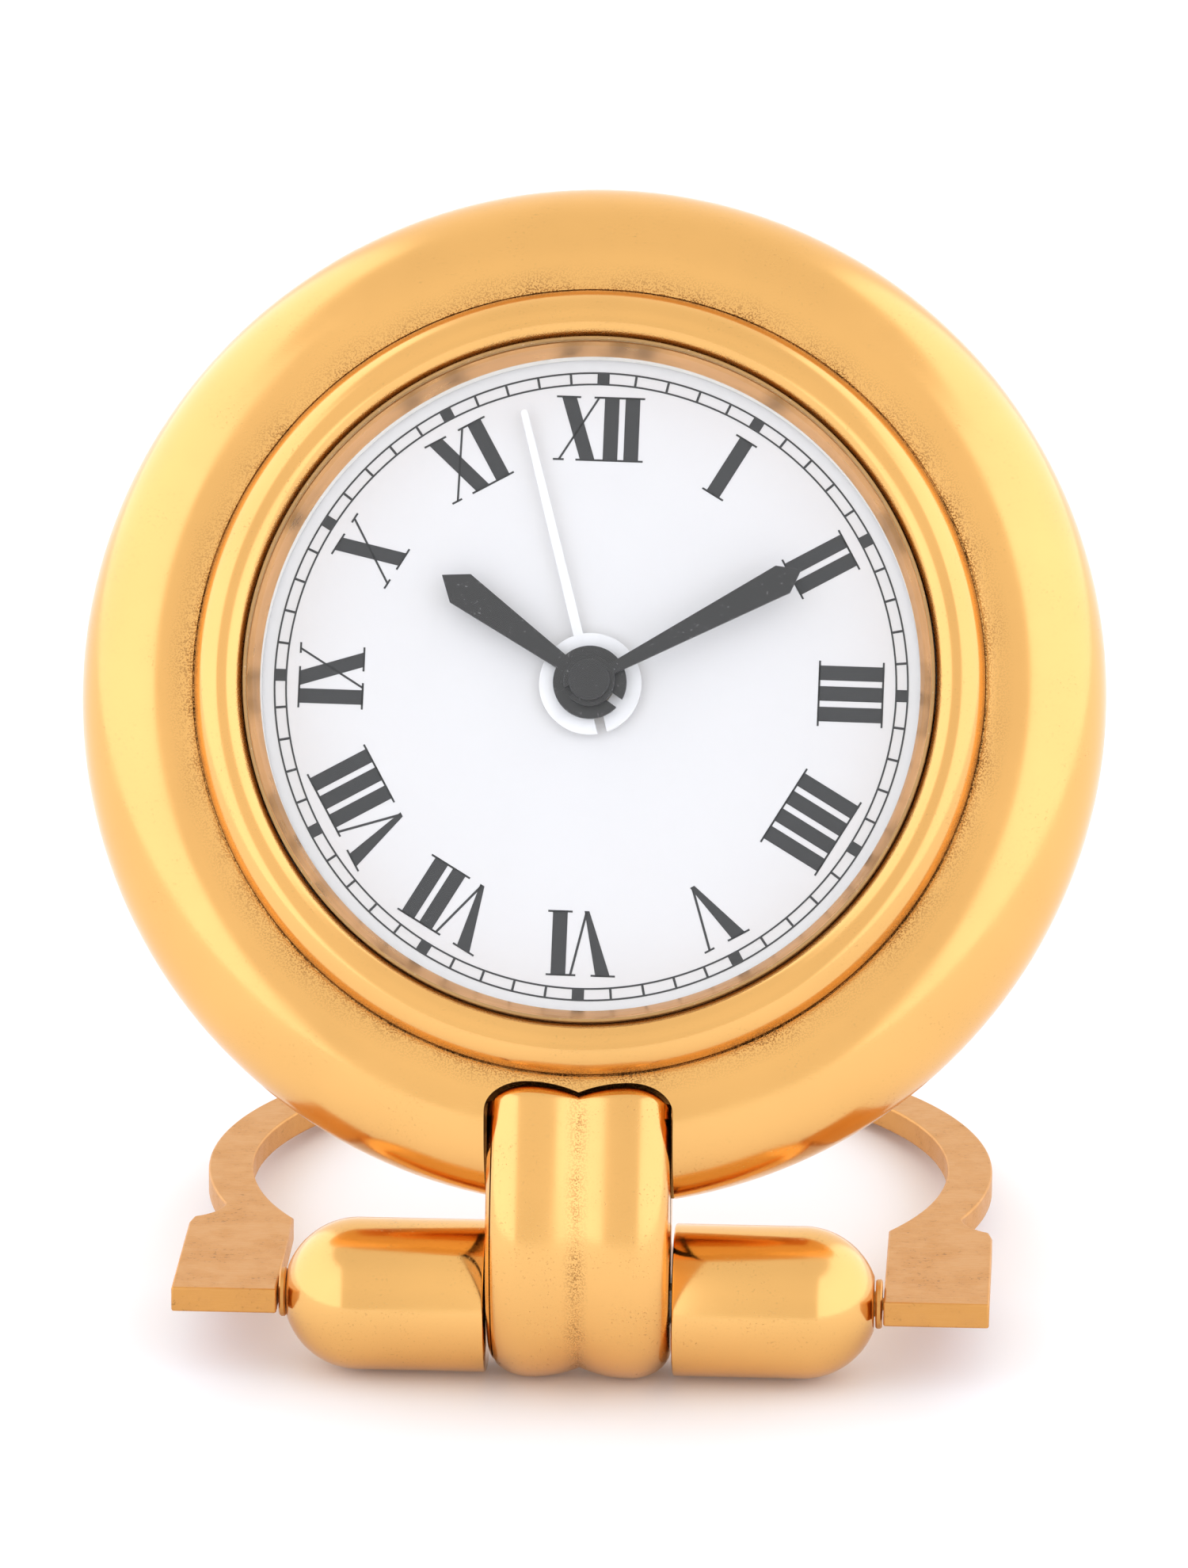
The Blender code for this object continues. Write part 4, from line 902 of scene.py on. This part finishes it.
def strap_stations():
    """Places on the strap's side outline as (y, z, direction out), from its top end round to its back."""
    top_y = STRAP_TOP - sizes().strap_bend
    top_z = STRAP_FACE - sizes().strap_bend
    back = -sizes().strap_depth
    bend = sizes().strap_bend
    stations = [(STRAP_TOP, back, 0.0)]
    for step in range(13):
        angle = math.radians(90 * step / 12)
        stations.append((top_y + bend * math.cos(angle), top_z + bend * math.sin(angle), angle))
    kink = BARREL_AXIS.y + sizes().strap_straight
    drop = sizes().strap_straight + sizes().strap_wrap
    belly = STRAP_FACE - BARREL_AXIS.z
    for step in range(37):
        angle = math.radians(90 + 90 * step / 36)
        y = kink + drop * math.cos(angle)
        z = BARREL_AXIS.z + belly * math.sin(angle)
        normal = math.atan2(math.sin(angle) / belly, math.cos(angle) / drop)
        stations.append((y, z, normal))
    wrap = sizes().strap_wrap
    for step in range(1, 37):
        angle = math.radians(180 + 180 * step / 36)
        y = BARREL_AXIS.y + wrap * math.cos(angle)
        stations.append((y, BARREL_AXIS.z + wrap * math.sin(angle), angle))
    stations.append((STRAP_SEAT, back, math.radians(360)))
    return stations


def strap_shape(name):
    """The strap: its two-lobed section is drawn once, then extruded and placed at each station."""
    steps = 10
    crest = sizes().lobe_crest
    width = STRAP_HALF - crest
    half = [crest * step / steps for step in range(steps + 1)]
    half += [crest + width * math.sin(math.pi / 2 * step / steps) for step in range(1, steps + 1)]
    across = [-x for x in reversed(half[1:])] + half
    stations = strap_stations()

    def place(x, station):
        y, z, angle = station
        drop = lobe_drop(abs(x))
        return Vector((x, y - drop * math.cos(angle), z - drop * math.sin(angle)))

    stations.append(stations[0])
    first = [place(x, stations[0]) for x in across]
    piece = start(name, first[0])
    draw(first)
    bpy.ops.mesh.select_all(action="SELECT")
    for station in stations[1:]:
        bpy.ops.mesh.extrude_region_move()
    bpy.ops.object.mode_set(mode="OBJECT")
    row = len(across)
    for number, station in enumerate(stations):
        for column, x in enumerate(across):
            piece.data.vertices[number * row + column].co = place(x, station)
    bpy.ops.object.mode_set(mode="EDIT")
    bpy.ops.mesh.select_all(action="SELECT")
    bpy.ops.mesh.remove_doubles(threshold=0.001 * MM)
    bpy.ops.mesh.fill_holes(sides=0)
    close_up(32.0)
    return piece


class ClockStrap(bpy.types.Operator):
    """Builds the two-lobed strap round the barrel"""

    bl_idname = "clock.strap"
    bl_label = "Strap"

    def execute(self, context):
        strap = strap_shape("strap_fine")
        settle(strap, HEAD)
        bore = span("barrel_rod", STAND)[1].z + GAP
        drill(strap, bore, -20 * MM, 20 * MM, Matrix.Translation(AXLE) @ ALONG_BARREL)
        material = gold_finish("strap_gold", 0.17, groove=0.85 * MM, dirt=0.9)
        hand_over(strap, "head", "gold", material, "strap")
        return {"FINISHED"}


class ClockBarrels(bpy.types.Operator):
    """Builds the two barrel halves with their domed ends"""

    bl_idname = "clock.barrels"
    bl_label = "Barrels"

    def execute(self, context):
        opening = 1.7 * MM
        centre = math.sqrt(BARREL_RADIUS**2 - opening**2)
        tip = math.degrees(math.atan2(opening, centre))
        chamfer = 0.15 * MM
        rod_bore = 1.6 * MM
        rod_end = 14.6 * MM
        pin_bore = 0.9 * MM
        profile = [(rod_bore, BARREL_START), (BARREL_RADIUS - chamfer, BARREL_START)]
        profile += [(BARREL_RADIUS - 0.04 * MM, BARREL_START + 0.06 * MM)]
        profile += [(BARREL_RADIUS, BARREL_START + chamfer)]
        dome = arc(BARREL_END - centre, 0, BARREL_RADIUS, BARREL_RADIUS, 90, tip, 28)
        profile += [(radius, along) for along, radius in dome]
        profile += [(pin_bore, BARREL_END), (pin_bore, rod_end), (rod_bore, rod_end)]
        material = gold_finish("barrel_gold", 0.14, dirt=0.6)
        for side, way in SIDES:
            barrel = turned(f"barrel_{side}_fine", profile, sizes().sides // 2)
            settle(barrel, Matrix.Translation(AXLE) @ Matrix.Rotation(way * math.pi / 2, 4, "Y"))
            hand_over(barrel, "head", "gold", material, "barrel_" + side)
        return {"FINISHED"}


# Stand


class ClockStand(bpy.types.Operator):
    """Builds the loop stand with its feet, and its pivot pins"""

    bl_idname = "clock.stand"
    bl_label = "Stand"

    loop_radius: length("Loop radius", "Outside of the loop", 25.4)
    loop_band: length("Loop band", "Width of the loop's band", 2.9)
    foot_inner: length("Foot inside", "From the middle to a foot's inner side", 19.0)
    foot_length: length("Foot length", "Length of a foot", 12.8)

    def outline(self):
        centre = STAND_REACH - self.loop_radius
        rear = self.foot_length - FOOT_FRONT
        inner_radius = self.loop_radius - self.loop_band
        shoulder = 1.5 * MM
        join = rear + 2.6 * shoulder
        outer_start = math.degrees(math.asin((join - centre) / self.loop_radius))
        inner_start = -math.degrees(math.acos(self.foot_inner / inner_radius))
        corner = self.loop_radius * math.cos(math.radians(outer_start))
        right = [(self.foot_inner, -FOOT_FRONT), (FOOT_OUTER, -FOOT_FRONT), (FOOT_OUTER, rear)]
        fillet = join - rear - 0.9 * MM
        right += arc(corner + fillet, rear + 0.9 * MM + fillet, fillet, fillet, 245, 185, 8)
        outer = arc(0, centre, self.loop_radius, self.loop_radius, outer_start, 180 - outer_start, 110)
        inner = arc(0, centre, inner_radius, inner_radius, inner_start, 180 - inner_start, 110)
        left = [(-x, y) for x, y in reversed(right)]
        return right + outer + left + list(reversed(inner))

    def execute(self, context):
        loop = plate("stand_fine", [self.outline()], -STAND_HALF, STAND_HALF)
        soften(loop, 0.14 * MM, 3)
        settle(loop, STAND)
        wide = 2 * STAND_REACH
        cut(loop, plate("tool", [rectangle(-wide, -wide, wide, wide)], -5 * MM, 0))
        for side, way in SIDES:
            place = STAND @ Matrix.Translation((way * self.foot_inner, 0, 0)) @ ALONG_BARREL
            drill(loop, 0.5 * MM, -3 * MM, 3 * MM, place, 24)
        material = brushed_gold("stand_gold", colours().aged, 0.36, (1, 10, 10))
        hand_over(loop, "stand", "aged_gold", material, "stand_loop")
        self.pins(material)
        return {"FINISHED"}

    def pins(self, material):
        """Stepped pins: in the barrel's end, with a collar before the foot, and in the foot."""
        pin_low, pin_high = span("stand_pin_right", STAND)
        thick = 0.8 * MM
        thin = 0.4 * MM
        low = BARREL_END + GAP
        high = self.foot_inner - GAP
        collar = pin_high.z
        edge = 0.1 * MM
        profile = [(0, pin_low.x), (thick, pin_low.x), (thick, low)]
        profile += [(collar - edge, low), (collar, low + edge), (collar, high - edge), (collar - edge, high)]
        profile += [(thin, high), (thin, pin_high.x), (0, pin_high.x)]
        for side, way in SIDES:
            pin = turned(f"stand_pin_{side}_fine", profile, sizes().small_sides, closed=False)
            settle(pin, STAND @ Matrix.Rotation(way * math.pi / 2, 4, "Y"))
            hand_over(pin, "stand", "aged_gold", material, "stand_pin_" + side)


# Back


class ClockBackCover(bpy.types.Operator):
    """Builds the back cover with its holes, and its battery hatch"""

    bl_idname = "clock.back_cover"
    bl_label = "Back cover"

    def execute(self, context):
        edge = 0.12 * MM
        low = BACK
        profile = [(0, low), (COVER_RADIUS - edge, low), (COVER_RADIUS, low + edge)]
        profile += [(COVER_RADIUS, COVER_FACE), (0, COVER_FACE)]
        cover = turned("back_cover_fine", profile, sizes().sides, closed=False)
        below = BACK - MM
        above = COVER_FACE + MM
        hatch_low, hatch_high = span("battery_hatch")
        hatch = middle("battery_hatch")
        hatch_radius = (hatch_high.x - hatch_low.x) / 2
        screws = [middle(f"case_screw_{number}") for number in range(1, 5)]
        sound = middle("buzzer_disc")
        sixths = [step * math.pi / 3 for step in range(6)]
        ring = [sound + Vector((math.cos(turn), math.sin(turn), 0)) * 3 * MM for turn in sixths]
        drill_all(cover, 0.85 * MM, below, above, [middle("time_stem"), middle("alarm_stem")])
        drill_all(cover, hatch_radius + GAP, below, above, [hatch], 96)
        drill_all(cover, 0.7 * MM, below, above, screws)
        drill_all(cover, SINK_RADIUS, below, BACK + SINK_DEPTH, screws)
        drill_all(cover, 0.5 * MM, below, above, [sound] + ring, 20)
        self.openings(cover, hatch, hatch_radius, below, above)
        settle(cover, HEAD)
        hand_over(cover, "head", "gold", turned_metal("back_gold", colours().gold, 0.26), "back_cover")
        self.hatch(hatch, hatch_radius)
        return {"FINISHED"}

    def openings(self, cover, hatch, hatch_radius, below, above):
        """Slot for the alarm switch, and notches for the hatch's lugs."""
        switch = middle("alarm_switch") + Vector((1.5 * MM, 0, 0))
        half = 2.6 * MM
        wide = 0.7 * MM
        slot = rectangle(switch.x - half, switch.y - wide, switch.x + half, switch.y + wide)
        carve(cover, slot, below, above)
        reach = hatch_radius + 0.8 * MM
        gap = 1.4 * MM
        carve(cover, rectangle(-reach, hatch.y - gap, reach, hatch.y + gap), below, above)

    def hatch(self, centre, radius):
        low, high = span("battery_hatch")
        edge = 0.1 * MM
        profile = [(0, low.z), (radius - edge, low.z), (radius, low.z + edge), (radius, COVER_FACE)]
        profile += [(0, COVER_FACE)]
        lid = turned("battery_hatch_fine", profile, 96, closed=False)
        carve(lid, rounded_bar(4 * MM, 0.6 * MM), low.z - MM, low.z + 0.4 * MM)
        lug = rectangle(-1.2 * MM, 6.1 * MM, 1.2 * MM, 7.6 * MM)
        other = [(-x, -y) for x, y in lug]
        lugs = plate("lugs", [lug, other], COVER_FACE + GAP, high.z)
        whole = joined("battery_hatch_fine", [lid, lugs])
        settle(whole, on_head(centre))
        material = turned_metal("hatch_gold", colours().gold, 0.24, (centre.x, centre.y, 0))
        hand_over(whole, "battery_hatch", "gold", material, "battery_hatch")


def rounded_bar(half_length, half_width):
    """Outline of a bar with round ends, along X."""
    straight = half_length - half_width
    return (arc(straight, 0, half_width, half_width, -90, 90, 12)
            + arc(-straight, 0, half_width, half_width, 90, 270, 12))


class ClockKnobs(bpy.types.Operator):
    """Builds the fluted knobs, the ribbed alarm switch and the slotted screws"""

    bl_idname = "clock.knobs"
    bl_label = "Knobs, switch and screws"

    flutes: IntProperty(name="Flutes", description="Flutes round a knob", default=20, min=6)

    def execute(self, context):
        gold = gold_finish("knob_gold", 0.2, dirt=0.8)
        for name in ("time_knob", "alarm_knob"):
            self.knob(name, gold)
        self.switch(gold)
        self.screws()
        return {"FINISHED"}

    def knob(self, name, material):
        low, high = span(name)
        radius = (high.x - low.x) / 2
        crests = ((-0.3, 0.04), (-0.2, 0), (0, 0), (0.2, 0), (0.3, 0.04))  # share of a flute, depth in mm
        hollows = ((0.4, 0.2), (0.5, 0.26), (0.6, 0.2))
        outline = []
        for flute in range(self.flutes):
            for share, depth in crests + hollows:
                angle = (flute + share) * 2 * math.pi / self.flutes
                reach = radius - depth * MM
                outline.append((reach * math.cos(angle), reach * math.sin(angle)))
        knob = plate("knob", [outline], low.z, high.z)
        soften(knob, 0.12 * MM, 2, 60)
        bore = rectangle(0, low.z + 0.9 * MM, 0.85 * MM, high.z + MM)
        cut(knob, turned("tool", bore, 32, closed=False))
        ring = rectangle(2.9 * MM, low.z - MM, 3.1 * MM, low.z + 0.12 * MM)
        cut(knob, turned("tool", ring, 64))
        settle(knob, on_head((low + high) / 2))
        knob.name = name + "_fine"
        hand_over(knob, name, "gold", material, name)

    def switch(self, material):
        low, high = span("alarm_switch")
        button_top = BACK - GAP
        slide_low = COVER_FACE + GAP
        neck_half = 0.6 * MM
        groove_half = 0.12 * MM
        button = plate("button", [rounded_bar(1.7 * MM, 0.9 * MM)], low.z, button_top)
        soften(button, 0.1 * MM)
        for x in (-0.6 * MM, 0, 0.6 * MM):
            groove = rectangle(x - groove_half, -MM, x + groove_half, MM)
            carve(button, groove, low.z - MM, low.z + 0.15 * MM)
        neck = plate("neck", [rectangle(-MM, -neck_half, MM, neck_half)], button_top, slide_low)
        slide = plate("slide", [rectangle(-3.2 * MM, -MM, 3.2 * MM, MM)], slide_low, high.z)
        whole = joined("alarm_switch_fine", [button, neck, slide])
        settle(whole, on_head((low + high) / 2))
        hand_over(whole, "alarm_switch", "gold", material, "alarm_switch")

    def screws(self):
        names = [f"case_screw_{number}" for number in range(1, 5)] + ["strap_screw_left", "strap_screw_right"]
        head = 1.1 * MM
        shank = 0.6 * MM
        edge = 0.12 * MM
        for number, name in enumerate(names):
            low, high = span(name)
            centre = (low + high) / 2
            under = low.z + 0.5 * MM
            profile = [(0, low.z), (head - edge, low.z), (head, low.z + edge), (head, under)]
            profile += [(shank, under), (shank, high.z), (0, high.z)]
            screw = turned("screw", profile, sizes().small_sides, closed=False)
            slot = rectangle(-2 * MM, -0.15 * MM, 2 * MM, 0.15 * MM)
            carve(screw, slot, low.z - MM, low.z + 0.25 * MM)
            settle(screw, on_head(centre) @ Matrix.Rotation(number * 0.9, 4, "Z"))
            screw.name = name + "_fine"
            material = turned_metal(name + "_steel", colours().steel, 0.25, (centre.x, centre.y, 0))
            hand_over(screw, "head", "steel", material, name)


# Works inside the case


class ClockWorks(bpy.types.Operator):
    """Gives the pieces inside the case their finishes"""

    bl_idname = "clock.works"
    bl_label = "Works"

    def execute(self, context):
        finishes = {
            "steel": turned_metal("works_steel", colours().steel, 0.28),
            "wheel_brass": turned_metal("works_brass", colours().brass, 0.3),
            "white_plastic": satin("works_plastic", colours().plastic, 0.5),
            "black_plastic": satin("works_black", (0.02, 0.02, 0.022), 0.45),
            "board": satin("works_board", colours().board, 0.4),
            "gasket": satin("works_gasket", colours().gasket, 0.55),
            "winding": self.winding(),
        }
        slots = {part["node"]: part["material_slot"] for part in frame["record"]["subparts"]}
        for name, node in frame["nodes"].items():
            if slots[name] in finishes:
                node.data.materials.clear()
                node.data.materials.append(finishes[slots[name]])
        return {"FINISHED"}

    def winding(self):
        """Turns of enamelled wire side by side along the coil."""
        base = colours().winding
        material, tree, shader = finish("works_winding", base, 1.0, 0.32)
        wave = {"Vector": head_coordinates(tree), "Scale": 1.2 / MM, "Distortion": 0.3}
        turns = add(tree, "TexWave", wave).outputs["Fac"]
        feed(tree, shader, base_color=mixed(tree, turns, [part * 0.5 for part in base], base))
        bump(tree, shader, turns, 0.03 * MM)
        return material


# Stage


class ClockStage(bpy.types.Operator):
    """Adds a pale floor, soft light and the camera"""

    bl_idname = "clock.stage"
    bl_label = "Stage"

    azimuth: angle("Azimuth", "How far right of the clock's front the camera stands", 3)
    elevation: angle("Elevation", "How far over the dial's middle the camera stands", 21)
    distance: length("Distance", "From the dial to the camera", 650)
    tent: FloatProperty(name="Tent", description="Brightness of the white tent", default=1.2, min=0)
    panels: FloatProperty(name="Panels", description="Extra light of the side panels", default=0.62, min=0)

    def execute(self, context):
        self.floor()
        self.lights()
        self.camera()
        return {"FINISHED"}

    def floor(self):
        deselect()
        bpy.ops.mesh.primitive_plane_add(size=6, location=(0, 0, 0))
        floor = bpy.context.object
        floor.name = "floor"
        material, tree, shader = finish("floor_white", (0.93, 0.93, 0.93), 0.0, 0.6)
        grain = noise(tree, object_place(tree), 30 * MM, 2)
        feed(tree, shader, base_color=mixed(tree, grain, (0.925,) * 3, (0.935,) * 3))
        floor.data.materials.append(material)

    def lights(self):
        """A white tent all round, with a tall bright panel on each side and a dimmer patch in front."""
        world = bpy.data.worlds.new("studio")
        bpy.context.scene.world = world
        world.use_nodes = True
        tree = world.node_tree
        background = tree.nodes["Background"]
        place = add(tree, "TexCoord").outputs["Generated"]
        parts = add(tree, "SeparateXYZ", {0: place})
        side = maths(tree, "ABSOLUTE", parts.outputs["X"])
        high = parts.outputs["Z"]
        panel = times(tree, ramp(tree, side, 0.36, 0.44), ramp(tree, high, 0.86, 0.80))
        level = plus(tree, self.tent, times(tree, panel, self.panels))
        level = minus(tree, level, ramp(tree, parts.outputs["Y"], -0.6, -1.0, 0, 0.12))
        level = minus(tree, level, ramp(tree, high, 0.55, 0.95, 0, 0.14))
        tree.links.new(mixed(tree, panel, (1, 0.99, 0.975), (0.96, 1.0, 1.12)), background.inputs["Color"])
        tree.links.new(level, background.inputs["Strength"])

    def camera(self):
        right = Vector((math.cos(self.azimuth), math.sin(self.azimuth), 0))
        level = Vector((right.y, -right.x, 0))
        towards = level * math.cos(self.elevation) + Vector((0, 0, math.sin(self.elevation)))
        place = DIAL_CENTRE + towards * self.distance
        target = DIAL_CENTRE + right * 0.2 * MM - towards.cross(right) * 6.15 * MM
        aim = (target - place).to_track_quat("-Z", "Y").to_euler()
        bpy.ops.object.camera_add(location=place, rotation=aim)
        camera = bpy.context.object
        camera.name = "camera"
        camera.data.lens = 239
        camera.data.sensor_width = 36
        camera.data.clip_start = 0.01
        bpy.context.scene.camera = camera
        bpy.context.scene.view_settings.view_transform = "Standard"


PIECES = (
    ClockCaseRing, ClockBead, ClockFlange, ClockCrystal, ClockDial, ClockHands, ClockStrap, ClockBarrels,
    ClockStand, ClockBackCover, ClockKnobs, ClockWorks, ClockStage,
)


class ClockPanel(bpy.types.Panel):
    """Lists the clock's pieces in the sidebar"""

    bl_idname = "VIEW3D_PT_clock"
    bl_label = "Travel alarm clock"
    bl_space_type = "VIEW_3D"
    bl_region_type = "UI"
    bl_category = "Clock"

    def draw(self, context):
        for piece in PIECES:
            self.layout.operator(piece.bl_idname)


def register():
    for kind in (ClockSizes, ClockColours, *PIECES, ClockPanel):
        bpy.utils.register_class(kind)
    bpy.types.Scene.clock_sizes = PointerProperty(type=ClockSizes)
    bpy.types.Scene.clock_colours = PointerProperty(type=ClockColours)


def unregister():
    del bpy.types.Scene.clock_sizes
    del bpy.types.Scene.clock_colours
    for kind in reversed((ClockSizes, ClockColours, *PIECES, ClockPanel)):
        bpy.utils.unregister_class(kind)


def main():
    register()
    for piece in PIECES:
        group, name = piece.bl_idname.split(".")
        getattr(getattr(bpy.ops, group), name)()


if __name__ == "__main__":
    main()
